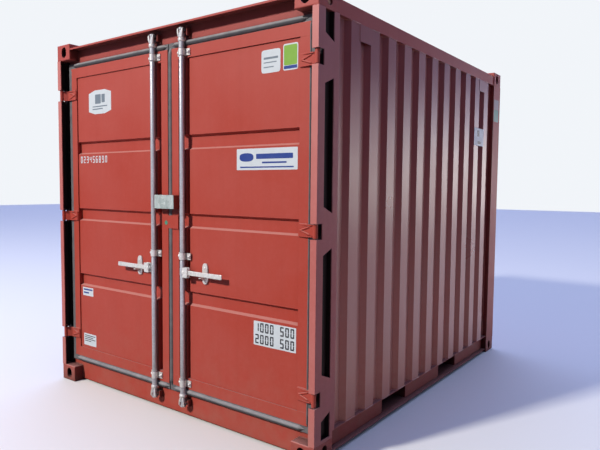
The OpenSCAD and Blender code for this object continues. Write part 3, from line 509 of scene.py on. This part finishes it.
bar_zinc = zinced("bar_zinc", srgb(194, 193, 195), srgb(156, 155, 155), 110.0, 0.3, 0.5)
cast_zinc = zinced("cast_zinc", srgb(236, 232, 225), srgb(190, 186, 180), 140.0, 0.35, 0.4)

# Floor screws. Countersunk zinc screws with dished heads hold the plywood down
# to the cross members, in rows from side to side.
SCREW_ROWS, A_ROW, ROW_IN, ROWS_IN = 9, 12, 0.09, 0.12


def turned(profile, sides, flats=0):
    """A surface turned about Z from a profile of (radius, height) points. With flats, the radius is
    that of a regular polygon: the flat's distance over the cosine of the angle from its middle."""
    profile = np.array(profile, dtype=float)
    turn = np.linspace(0, 2 * np.pi, sides, endpoint=False)
    shape = np.ones(sides)
    if flats:
        shape = 1 / np.cos((turn + np.pi / flats) % (2 * np.pi / flats) - np.pi / flats)
    x = profile[:, 0, None] * np.cos(turn) * shape
    y = profile[:, 0, None] * np.sin(turn) * shape
    z = profile[:, 1, None] + 0 * turn
    return np.stack([x, y, z], axis=-1).reshape(-1, 3), closed(len(profile), sides)


def at(part, place, axis="z"):
    """The part moved to a place, its own Z turned to an axis: z up, or front for the doors' side."""
    points, faces = part
    if axis == "front":
        points = points[:, [0, 2, 1]] * (1, -1, 1)
    return points + np.array(place), faces


floor_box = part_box("floor_panel")
screw = turned([(0.0045, -0.0010), (0.0048, 0.0004), (0.0036, 0.0007), (0.0012, 0.0002)], 8)
screws = [at(screw, (x, y, floor_box[1][2]))
          for x in np.linspace(floor_box[0][0] + ROW_IN, floor_box[1][0] - ROW_IN, A_ROW)
          for y in np.linspace(floor_box[0][1] + ROWS_IN, floor_box[1][1] - ROWS_IN, SCREW_ROWS)]
put("floor_screws", screws, bar_zinc, "container")

# Doors. Pressed sheets in tube frames, in the cleanest and brightest paint, as on
# the sill under them. The frames' tubes meet in ground weld seams, and the edges
# of the cross bands are round bends.
FIELD_SUNK, FIELD_IN, BAND_PITCH, BAND_HALF = 0.008, 0.182, 0.505, 0.047
TUBE_SEAM, SEAM_SUNK, BEND, BEND_SUNK, BEND_OUT, BEND_SHORT = 0.006, 0.0022, 0.007, 0.0030, 0.0018, 0.001
DOORS = ((-1, "left"), (1, "right"))
door_coat = coated("door_coat", srgb(178, 67, 52), srgb(190, 98, 90), 0.34, 0.2, 0.25, 0.42, 0.16)
dress(door_coat, "left_door_frame", "right_door_frame", "left_door_panel", "right_door_panel",
      "left_door_hinges", "right_door_hinges", "seam_cover", "door_sill")
(leaf_in, door_face, leaf_low), (leaf_out, leaf_back, leaf_high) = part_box("right_door_frame")
sheet_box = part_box("right_door_panel")
sheet_in, sheet_out = sheet_box[0][0], sheet_box[1][0]
sheet_low, sheet_high = sheet_box[0][2], sheet_box[1][2]
field_face, leaf_middle = door_face + FIELD_SUNK, (leaf_low + leaf_high) / 2
for side, hand in DOORS:
    seams = [bead(crossing(side * x0, side * x1, door_face + SEAM_SUNK, z), TUBE_SEAM, ripple=0.05)
             for x0, x1 in ((leaf_in, sheet_in), (leaf_out, sheet_out)) for z in (sheet_low, sheet_high)]
    seams += [bead(crossing(side * sheet_in, side * sheet_out, leaf_back, z), TUBE_SEAM, step=0.01)
              for z in (sheet_low, sheet_high)]
    seams += [bead(rising(side * x, leaf_back, sheet_low, sheet_high), TUBE_SEAM, BACKWARD, step=0.01)
              for x in (sheet_in, sheet_out)]
    put(hand + "_door_seams", seams, door_coat, hand + "_door")
    levels = [leaf_middle + band * BAND_PITCH + edge * (BAND_HALF + BEND_OUT)
              for band in (-1, 0, 1) for edge in (-1, 1)]
    bends = [bead(crossing(side * FIELD_IN, side * (sheet_out - BEND_SHORT), field_face + BEND_SUNK, z),
                  BEND, ripple=0.0, step=0.04, sides=16) for z in levels]
    put(hand + "_door_bends", bends, door_coat, hand + "_door")

# Hinges. A weld runs round each strap's foot, a raised rib points along its neck,
# and thick washers sit between the knuckles and the lugs of the post.
STRAP_H, STRAP_WELD, WELD_IN = 0.070, 0.008, 0.004
RIB, RIB_OUT, RIB_TIP, RIB_RAISED, RIB_HALF = 0.011, 0.018, 0.012, 0.008, 0.024
PIN_IN, WASHER_GAP = 0.020, 0.0385
straps_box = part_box("right_door_hinges")
hinge_middle = (straps_box[0][2] + straps_box[1][2]) / 2
HINGE_PITCH = (straps_box[1][2] - straps_box[0][2] - STRAP_H) / 2
hinge_levels = [hinge_middle + level * HINGE_PITCH for level in (-1, 0, 1)]
for side, hand in DOORS:
    foot, near, neck = side * straps_box[0][0], side * (leaf_out - WELD_IN), side * (leaf_out + RIB_OUT)
    tip, rib_face = foot + side * RIB_TIP, door_face - RIB_RAISED
    beads = []
    for z in hinge_levels:
        low, high = z - STRAP_H / 2, z + STRAP_H / 2
        beads.append(bead([(near, door_face, low), (foot, door_face, low), (foot, door_face, high),
                           (near, door_face, high)], STRAP_WELD, FORWARD))
        rib = [(neck, rib_face, z - RIB_HALF), (tip, rib_face, z), (neck, rib_face, z + RIB_HALF)]
        beads.append(bead(rib, RIB, FORWARD, 0.0, 0.003, 12))
    put(hand + "_door_strap_welds", beads, door_coat, hand + "_door")
washer = turned([(0.0085, -0.0012), (0.0135, -0.0012), (0.0140, 0.0), (0.0135, 0.0012), (0.0085, 0.0012)], 24)
washers = [at(washer, (side * (HALF_W - PIN_IN), deep(PIN_IN), z + gap))
           for side in (-1, 1) for z in hinge_levels for gap in (-WASHER_GAP, WASHER_GAP)]
put("hinge_washers", washers, frame_coat, "container")

# Seals. An extruded strip of black rubber around each door closes on the jambs, the header and the sill. It
# is dull, and paler on its upward faces, partly from settled dust and partly as a painted highlight.
seal_rubber = bpy.data.materials.new("seal_rubber")
seal_rubber.use_nodes = True
t = seal_rubber.node_tree
rubber_shader = t.nodes["Principled BSDF"].inputs
rubber_shader["Specular IOR Level"].default_value = 0.35
place = add(t, "ShaderNodeTexCoord").outputs["Object"]
bloom = ramp(t, scaled_noise(t, place, EVEN, 14.0, 5.0, 0.65), 0.35, 0.75)
# Settled dust and a painted highlight: upward faces of the rubber are mixed towards pale grey.
settled_dust_and_sheen = sums(t, "ADD", sums(t, "MULTIPLY", bloom, 0.4), 0.55)
settled_dust_and_sheen = sums(t, "MULTIPLY", ramp(t, upwards(t), -0.18, 0.32), settled_dust_and_sheen)
rubber = blend_colour(t, bloom, srgb(64, 62, 64), srgb(86, 84, 85))
t.links.new(blend_colour(t, settled_dust_and_sheen, rubber, srgb(158, 154, 154)), rubber_shader["Base Color"])
t.links.new(sums(t, "ADD", sums(t, "MULTIPLY", bloom, 0.2), 0.55), rubber_shader["Roughness"])
skin_bump = add(t, "ShaderNodeBump", [("Height", scaled_noise(t, place, EVEN, 300.0, 2.0, 0.5)),
                                      ("Strength", 0.15), ("Distance", 0.001)])
t.links.new(skin_bump.outputs["Normal"], rubber_shader["Normal"])
dress(seal_rubber, "left_door_seal", "right_door_seal")

# Seal lips. One broad rounded lip runs along the top and bottom of each door's
# seal and a narrow one up its side, with a thin one inside them. One more covers
# the slit between the doors.
BROAD_LIP, SIDE_LIP, INNER_LIP, SLIT_LIP = 0.036, 0.014, 0.007, 0.032
BROAD_SHORT, SIDE_IN, INNER_LOW, INNER_HIGH, INNER_CORNER = 0.050, 0.034, 0.038, 0.037, 0.008
SLIT_X, SLIT_SHORT, BROAD_SUNK, SIDE_SUNK, INNER_SUNK, SLIT_SUNK = 0.004, 0.024, 0.003, 0.002, 0.001, 0.004
for side, hand in DOORS:
    seal_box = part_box(hand + "_door_seal")
    low, high, face = seal_box[0][2], seal_box[1][2], seal_box[0][1]
    inner, outer = side * leaf_in, side * max(abs(seal_box[0][0]), abs(seal_box[1][0]))
    upright_x, cut = outer - side * SIDE_IN, side * INNER_CORNER
    lips = [bead(crossing(inner, outer - side * BROAD_SHORT, face + BROAD_SUNK, z), BROAD_LIP, FORWARD,
                 0.015, 0.012, 14) for z in (low + BROAD_LIP / 2, high - BROAD_LIP / 2)]
    lips.append(bead(rising(upright_x, face + SIDE_SUNK, low + SIDE_IN, high - SIDE_IN), SIDE_LIP, FORWARD,
                     0.015, 0.012, 10))
    y, z0, z1 = face + INNER_SUNK, low + INNER_LOW, high - INNER_HIGH
    lips.append(bead([(inner, y, z0), (upright_x - cut, y, z0), (upright_x, y, z0 + INNER_CORNER),
                      (upright_x, y, z1 - INNER_CORNER), (upright_x - cut, y, z1), (inner, y, z1)],
                     INNER_LIP, FORWARD, 0.02, 0.014, 8))
    if side > 0:
        slit = rising(SLIT_X, face + SLIT_SUNK, low + SLIT_SHORT, high - SLIT_SHORT)
        lips.append(bead(slit, SLIT_LIP, FORWARD, 0.015, 0.014, 10))
    put(hand + "_door_seal_lips", lips, seal_rubber, hand + "_door")

# Nuts and rivets. Zinc hex nuts on washers hold each bracket of a locking bar to
# the door, and domed rivets hold the handle's catch. The bars and brackets are
# zinc as well.
BAR_X, FOOT_REACH, BRACKET_IN, MIDDLE_DROP, BRACKET_PLATE = 0.142, 0.044, 0.039, 0.230, 0.006
CATCH, RIVET_LEVELS = 0.010, (-0.050, 0.036)
dress(bar_zinc, "left_locking_bar", "right_locking_bar")
dress(cast_zinc, "left_handle", "right_handle", "left_bar_brackets", "right_bar_brackets",
      "left_handle_retainer", "right_handle_retainer")


def domed(radius, height, sides, bulge=1.0):
    """The profile of a dome, turned about Z: the radius goes with the cosine, to the power of the
    bulge, and the height with the sine."""
    climbing = np.linspace(0, 1.45, 7)
    return turned(np.stack([radius * np.cos(climbing) ** bulge, height * np.sin(climbing)], axis=1), sides)


nut = turned([(0.0105, 0.0), (0.0105, 0.0016), (0.0082, 0.0016), (0.0082, 0.0090), (0.0072, 0.0102),
              (0.0045, 0.0104), (0.0042, 0.0120), (0.0020, 0.0124)], 24, flats=6)
rivet = domed(0.0075, 0.0042, 16)
bracket_levels = (leaf_low + BRACKET_IN, leaf_middle - MIDDLE_DROP, leaf_high - BRACKET_IN)
retainer_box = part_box("right_handle_retainer")
catch_x = (retainer_box[0][0] + retainer_box[1][0]) / 2
handle_z = (retainer_box[0][2] + retainer_box[1][2]) / 2
for side, hand in DOORS:
    nuts = [at(nut, (side * BAR_X + reach, door_face - BRACKET_PLATE, z), "front")
            for z in bracket_levels for reach in (-FOOT_REACH, FOOT_REACH)]
    nuts += [at(rivet, (side * catch_x, field_face - CATCH, handle_z + up_by), "front")
             for up_by in RIVET_LEVELS]
    put(hand + "_nuts", nuts, cast_zinc, hand + "_door")

# Tubes of the locking bars. Each bar has a wider tube over it between its
# brackets, closed on it with a short cone at each end.
TUBE_R, BAR_R, BAR_DEPTH, TUBE_SHORT, CONE, CONE_STEP = 0.0165, 0.0130, 0.034, 0.026, 0.005, 0.001
for side, hand in DOORS:
    tubes = []
    for low, high in zip(bracket_levels[:-1], bracket_levels[1:]):
        low, high = low + TUBE_SHORT, high - TUBE_SHORT
        profile = [(BAR_R, low), (TUBE_R - CONE_STEP, low + 0.6 * CONE), (TUBE_R, low + CONE),
                   (TUBE_R, high - CONE), (TUBE_R - CONE_STEP, high - 0.6 * CONE), (BAR_R, high)]
        tubes.append(at(turned(profile, 40), (side * BAR_X, deep(BAR_DEPTH), 0.0)))
    put(hand + "_bar_tubes", tubes, bar_zinc, hand + "_bar")

# Claws of the locking bars. A cast fork with a ring round its foot is welded on
# each end of a bar, two curved horns that turn with it between the keepers.
SLEEVE_R, COLLAR_UP, HORN_W = 0.017, 0.074, 0.0115
bar_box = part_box("right_locking_bar")
horn = np.array([(0.009, -0.008, 0.070), (0.0125, -0.011, 0.056), (0.0165, -0.013, 0.040),
                 (0.0195, -0.013, 0.024), (0.0215, -0.012, 0.010), (0.0220, -0.009, 0.000)])
collar = turned([(SLEEVE_R, -0.012), (0.0215, -0.010), (0.0235, -0.004), (0.0235, 0.004), (0.0215, 0.010),
                 (SLEEVE_R, 0.012)], 32)
fine = np.linspace(0, len(horn) - 1, 31)
horn = np.stack([np.interp(fine, np.arange(len(horn)), horn[:, axis]) for axis in range(3)], axis=1)
for side, hand in DOORS:
    claws = []
    for end, way in ((bar_box[0][2], 1), (bar_box[1][2], -1)):
        foot = np.array([side * BAR_X, deep(BAR_DEPTH), end])
        claws.append((collar[0] * (1, 1, way) + foot + (0, 0, way * COLLAR_UP), collar[1]))
        claws += [bead(horn * (turn, 1, way) + foot, HORN_W, FORWARD, 0.04, 0.003, 12) for turn in (-1, 1)]
    put(hand + "_claws", claws, cast_zinc, hand + "_bar")

# Lock box. Its front is two folded zinc plates, mottled grey and green, on sides
# in the doors' paint. The right one laps over the slit between them.
COVER_OVER_W, COVER_OVER_H = 0.001, 0.002
dress(door_coat, "left_lock_box", "right_lock_box")
cover_zinc = zinced("cover_zinc", srgb(220, 226, 218), srgb(110, 128, 122), 34.0, 0.5, 0.3)


def film(outline, middle, thick, facing="front", bevel=0.0006):
    """A thin plate over an outline of (across, up) points, with a sloping edge. It faces the doors'
    side or the right-hand side; middle is a point on the face under it."""
    outline = np.array(outline, dtype=float)
    centre = (outline.max(axis=0) + outline.min(axis=0)) / 2
    spread = (outline.max(axis=0) - outline.min(axis=0)) / 2
    shrink = 1 - np.minimum(bevel / spread, 0.4)
    rings = [(outline, -0.0002), (outline, thick * 0.7), ((outline - centre) * shrink + centre, thick)]
    count = len(outline)
    points = []
    for ring, lift in rings:
        across, up_by, lift_by = ring[:, 0], ring[:, 1], np.full(count, lift)
        turned_to = (across, -lift_by, up_by) if facing == "front" else (lift_by, across, up_by)
        points.append(np.stack(turned_to, axis=1) + np.array(middle))
    return np.concatenate(points), closed(3, count)


def rounded(width, height, power=12.0, count=40, centre=(0.0, 0.0)):
    """A superellipse: the shares of half the width and half the height, each to the power, sum to one."""
    turn = np.linspace(0, 2 * np.pi, count, endpoint=False) + np.pi / count
    cosine, sine = np.cos(turn), np.sin(turn)
    return np.stack([centre[0] + np.sign(cosine) * np.abs(cosine) ** (2 / power) * width / 2,
                     centre[1] + np.sign(sine) * np.abs(sine) ** (2 / power) * height / 2], axis=1)


for hand, lap, thick in (("left", 0.0, 0.0022), ("right", 0.007, 0.0034)):
    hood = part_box(hand + "_lock_box")
    wide, tall = hood[1][0] - hood[0][0] + lap, hood[1][2] - hood[0][2]
    middle = ((hood[0][0] + hood[1][0] - lap) / 2, hood[0][1], (hood[0][2] + hood[1][2]) / 2)
    cover = film(rounded(wide + COVER_OVER_W, tall + COVER_OVER_H, 60.0, 64), middle, thick)
    put(hand + "_lock_cover", [cover], cover_zinc, hand + "_door", smooth=False)

# Handles. Each is a flat forged bar with rounded edges, on a capped pin between
# the two square cheeks of a zinc hub on its locking bar. It rests over the shelf
# of an oval catch that is riveted to the door.
PIVOT_REACH, GRIP_HALF, GRIP_SLIM, GRIP_END = 0.032, 0.0150, 0.0142, 0.327
CHEEK_W, CHEEK_H, CHEEK_OUT, CHEEK_BEVEL, CHEEK_LAP = 0.046, 0.066, 0.0165, 0.0016, 0.0006
FRONT_CHEEK, BACK_CHEEK, BACK_GAP, CAP_OUT = 0.0056, 0.0094, 0.010, 0.0060
CATCH_W, CATCH_H, CATCH_BEVEL = 0.050, 0.134, 0.003
SHELF_DROP, SHELF_HALF, SHELF_THICK, SHELF_THIN, SHELF_EDGE = 0.0235, 0.010, 0.0025, 0.0015, 0.001
SHELF_FRONT, SHELF_OFF, STEM, STEM_LOW, STEM_FRONT, STEM_BACK = 0.012, 0.004, 0.006, 0.052, 0.022, 0.062


def forged(stations, power=5.0, sides=20):
    """A bar along X. At each station (x, middle, half height, front, back) its section is a superellipse:
    the shares of the half height and of half the thickness, each to the power, sum to one."""
    x, middle, half, front, back = np.array(stations, dtype=float).T
    section = rounded(2.0, 2.0, power, sides)
    y = ((front + back) / 2)[:, None] + ((back - front) / 2)[:, None] * section[:, 0]
    z = middle[:, None] + half[:, None] * section[:, 1]
    return np.stack([x[:, None] + 0 * y, y, z], axis=-1).reshape(-1, 3), closed(len(x), sides)


handle_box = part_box("right_handle")
thick_front, thick_back, pivot = handle_box[0][1], handle_box[1][1], BAR_X + PIVOT_REACH
grip = [(-0.0155, 0.006, 0.003), (-0.0145, 0.0105, 0.001), (-0.010, 0.0135, 0.0), (0.010, GRIP_HALF, 0.0),
        (0.060, 0.0148, 0.0), (0.150, GRIP_SLIM, 0.0005), (0.200, GRIP_SLIM, 0.0005),
        (0.260, GRIP_HALF, 0.0), (GRIP_END, GRIP_HALF, 0.0), (GRIP_END + 0.005, 0.0140, 0.0010),
        (handle_box[1][0] - pivot, 0.0115, 0.0028)]
cheek = rounded(CHEEK_W, CHEEK_H, 9.0, 40)
cap = domed(0.0118, 0.0040, 24, 0.7)
for side, hand in DOORS:
    bar = forged([(side * (pivot + x), handle_z, half, thick_front + thin, thick_back - thin)
                  for x, half, thin in grip])
    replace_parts(put(hand + "_grip", [bar], cast_zinc, hand + "_handle", smooth=False),
                hand + "_handle")
    hub = [film(cheek, (side * (pivot + CHEEK_OUT), y, handle_z), thick, bevel=CHEEK_BEVEL)
           for y, thick in ((thick_front - CHEEK_LAP, FRONT_CHEEK), (thick_back + BACK_GAP, BACK_CHEEK))]
    hub.append(at(cap, (side * pivot, thick_front - CAP_OUT, handle_z), "front"))
    put(hand + "_hub", hub, cast_zinc, hand + "_bar", smooth=False)
    shelf = [(side * catch_x + x, handle_z - SHELF_DROP, half, deep(SHELF_FRONT), field_face - SHELF_OFF)
             for x, half in ((-SHELF_HALF, SHELF_THIN), (SHELF_EDGE - SHELF_HALF, SHELF_THICK),
                             (SHELF_HALF - SHELF_EDGE, SHELF_THICK), (SHELF_HALF, SHELF_THIN))]
    stem = [(deep(STEM_BACK), -STEM_LOW), (deep(STEM_FRONT), -SHELF_DROP), (deep(STEM_BACK), -SHELF_DROP)]
    oval = rounded(CATCH_W, CATCH_H, 3.0, 48)
    catch = [film(oval, (side * catch_x, field_face, handle_z), CATCH, bevel=CATCH_BEVEL),
             forged(shelf, 8.0), film(stem, (side * catch_x - STEM / 2, 0.0, handle_z), STEM, "side")]
    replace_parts(put(hand + "_catch", catch, cast_zinc, hand + "_door", smooth=False),
                hand + "_handle_retainer")

# Stickers of the doors. Thin printed films, plain and without words, lie on the
# flat fields, with their print as thinner films over them.
FILM, LAYER = 0.0005, 0.0004
print_group, given, result = group_of(
    "film_print",
    [("Place", VECTOR, (0, 0, 0)), ("Ink", COLOUR, (0.8, 0.8, 0.8, 1)), ("Faded", COLOUR, (0.6, 0.6, 0.6, 1)),
     ("Fade", VALUE, 0.3)],
    [("Colour", COLOUR), ("Roughness", VALUE)])
t = print_group
cloud = ramp(t, scaled_noise(t, given["Place"], EVEN, 13.0, 5.0, 0.65), 0.35, 0.75)
grit = ramp(t, scaled_noise(t, given["Place"], EVEN, 160.0, 3.0, 0.6), 0.58, 0.75)
worn = sums(t, "MULTIPLY", sums(t, "ADD", cloud, sums(t, "MULTIPLY", grit, 0.6)), given["Fade"])
t.links.new(blend_colour(t, worn, given["Ink"], given["Faded"]), result["Colour"])
t.links.new(sums(t, "ADD", sums(t, "MULTIPLY", worn, 0.4), 0.36), result["Roughness"])


def printed(name, ink, faded):
    """A printed film: the print group with its values, and a plain shader."""
    return finish_of(name, print_group, {"Ink": ink, "Faded": faded, "Fade": 0.3},
                     {"Specular IOR Level": 0.25})


white_film = printed("white_film", srgb(218, 224, 228), srgb(188, 190, 192))
grey_film = printed("grey_film", srgb(120, 132, 142), srgb(150, 158, 164))
ink_film = printed("ink_film", srgb(46, 46, 52), srgb(84, 82, 84))
blue_film = printed("blue_film", srgb(42, 66, 140), srgb(84, 100, 150))
green_film = printed("green_film", srgb(132, 178, 66), srgb(158, 190, 104))
teal_film = printed("teal_film", srgb(70, 142, 116), srgb(100, 152, 132))
sand_film = printed("sand_film", srgb(150, 124, 124), srgb(168, 146, 144))


def stuck(name, body, x, z, layers, face=field_face):
    """Films on a door at a place. The first layer lies on the door and the others on the first one;
    each is (ending of its name, finish, outlines)."""
    for over, (ending, finish, outlines) in enumerate(layers):
        thick, lift = (LAYER, LAYER) if over else (FILM, 0.0)
        films = [film(outline, (x, face - lift, z), thick) for outline in outlines]
        put(name + ending, films, finish, body, smooth=False)


def block(width, height, across=0.0, up_by=0.0, power=16.0, count=24):
    """The outline of one block of print, at its place on the label."""
    return rounded(width, height, power, count, (across, up_by))


def bars(width, height, rows):
    """Outlines of thin print lines: one a row, each (height over the middle, share of the width)."""
    return [block(width * share, height, -(1 - share) * width / 2, up_by, 20.0, 16) for up_by, share in rows]


BADGE_W, BADGE_H, BADGE_PEAK, BADGE_TOP = 0.272, 0.174, 0.020, 0.06
half_badge, eaves = BADGE_W / 2, BADGE_H / 2 - BADGE_PEAK
badge = [(-half_badge, -eaves), (-BADGE_TOP, -BADGE_H / 2), (BADGE_TOP, -BADGE_H / 2), (half_badge, -eaves),
         (half_badge, eaves), (BADGE_TOP, BADGE_H / 2), (-BADGE_TOP, BADGE_H / 2), (-half_badge, eaves)]
stuck("badge", "left_door", -0.778, 2.144, [
    ("", white_film, [badge]),
    ("_print", grey_film, [block(0.070, 0.068, -0.022, 0.022), block(0.040, 0.060, 0.042, 0.024)]
     + bars(0.18, 0.008, [(-0.032, 1.0), (-0.050, 0.7)]))])
stuck("small_label", "left_door", -0.9615, 0.712, [
    ("", white_film, [rounded(0.135, 0.064, 30.0)]),
    ("_print", blue_film, bars(0.115, 0.012, [(0.016, 1.0), (-0.008, 0.6)]))])
stuck("rating_label", "left_door", -0.9435, 0.338, [
    ("", white_film, [rounded(0.159, 0.092, 30.0)]),
    ("_print", ink_film, bars(0.135, 0.006, [(0.030, 1.0), (0.016, 0.8), (0.002, 1.0), (-0.012, 0.6)]))])
stuck("green_dot", "left_door", -0.042, 1.287, [("", teal_film, [rounded(0.030, 0.030, 1.6)])], door_face)
stuck("round_label", "right_door", 0.8465, 2.241, [
    ("", white_film, [rounded(0.139, 0.130, 9.0)]),
    ("_print", grey_film,
     bars(0.105, 0.012, [(0.018, 1.0)]) + bars(0.105, 0.006, [(-0.006, 0.9), (-0.032, 0.7)]))])
stuck("tall_label", "right_door", 0.987, 2.2485, [
    ("", white_film, [rounded(0.104, 0.145)]),
    ("_print", green_film, [block(0.092, 0.110, 0.0, 0.010, count=40)]),
    ("_foot", blue_film, [block(0.092, 0.018, 0.0, -0.056)])])
stuck("long_plate", "right_door", 0.815, 1.6915, [
    ("", white_film, [rounded(0.454, 0.125, 60.0, 64)]),
    ("_print", blue_film,
     [block(0.110, 0.050, -0.150, 0.012, 2.6, 32), block(0.270, 0.030, 0.060, 0.016, 20.0),
      block(0.180, 0.010, 0.060, -0.020, 20.0, 16), block(0.400, 0.008, 0.0, -0.046, 20.0, 16)])])

# Stencilled numbers. Plain digits of up to seven strokes, with the gaps that a
# stencil leaves between them, on the left door and on the right one's plate.
STROKES = {"a": (0, 1, True), "b": (1, 0.5, False), "c": (1, -0.5, False), "d": (0, -1, True),
           "e": (-1, -0.5, False), "f": (-1, 0.5, False), "g": (0, 0, True)}
LIT = ("abcdef", "bc", "abdeg", "abcdg", "bcfg", "acdfg", "acdefg", "abc", "abcdefg", "abcdfg")


def digits(text, pitch, width, height, stroke, row=0.0):
    """Outlines of digits in a row. Each stroke is a long superellipse along one edge of the digit's
    box or along its middle; a stroke's place is a share of half the box."""
    outlines = []
    for spot, sign in enumerate(text):
        left = (spot - (len(text) - 1) / 2) * pitch
        for key in LIT[int(sign)] if sign != " " else "":
            across, up_by, level = STROKES[key]
            centre = (left + across * (width - stroke) / 2, row + up_by * (height - stroke) / 2)
            long = (width if level else (height - stroke) / 2) * 0.94
            size = (long, stroke) if level else (stroke, long)
            outlines.append(rounded(*size, 8.0, 16, centre))
    return outlines


stuck("door_numbers", "left_door", -0.8635, 1.724, [
    ("", white_film, digits("023456890", 0.0385, 0.024, 0.050, 0.0075))])
stuck("weight", "right_door", 0.8845, 0.667, [
    ("_plate", white_film, [rounded(0.315, 0.144, 60.0, 64)]),
    ("_digits_upper", ink_film, digits("1000 500", 0.0375, 0.027, 0.056, 0.0085, 0.036)),
    ("_digits_lower", ink_film, digits("2000 500", 0.0375, 0.027, 0.056, 0.0085, -0.034))])

# Labels of the long side. A thin plate is fixed across two wall crests, and two
# painted patches are on the rear corner post. None has words.
PLATE_W, PLATE_H, PLATE_THICK, PLATE_Z, PLATE_CREST = 0.235, 0.150, 0.0012, 1.98, 4
PATCH_W, PATCH_IN = 0.130, 0.100
crest_x, crest_y = HALF_W - CREST_IN, wall_middle + PLATE_CREST * WAVE + (PLATE_W - CREST) / 2
plate = film(rounded(PLATE_W, PLATE_H, 40.0), (crest_x, crest_y, PLATE_Z), PLATE_THICK, "side")
put("crest_plate", [plate], white_film, "container", smooth=False)
plate_print = [film(outline, (crest_x + PLATE_THICK, crest_y, PLATE_Z), LAYER, "side")
               for outline in (block(0.050, 0.052, -0.020, 0.030), block(0.075, 0.024, 0.010, -0.048))]
put("crest_plate_print", plate_print, ink_film, "container", smooth=False)
for name, finish, tall, z in (("label", teal_film, 0.110, 2.205), ("patch", sand_film, 0.090, 2.306)):
    patch = film(rounded(PATCH_W, tall, 20.0), (HALF_W, REAR - PATCH_IN, z), FILM, "side")
    put("post_" + name, [patch], finish, "container", smooth=False)
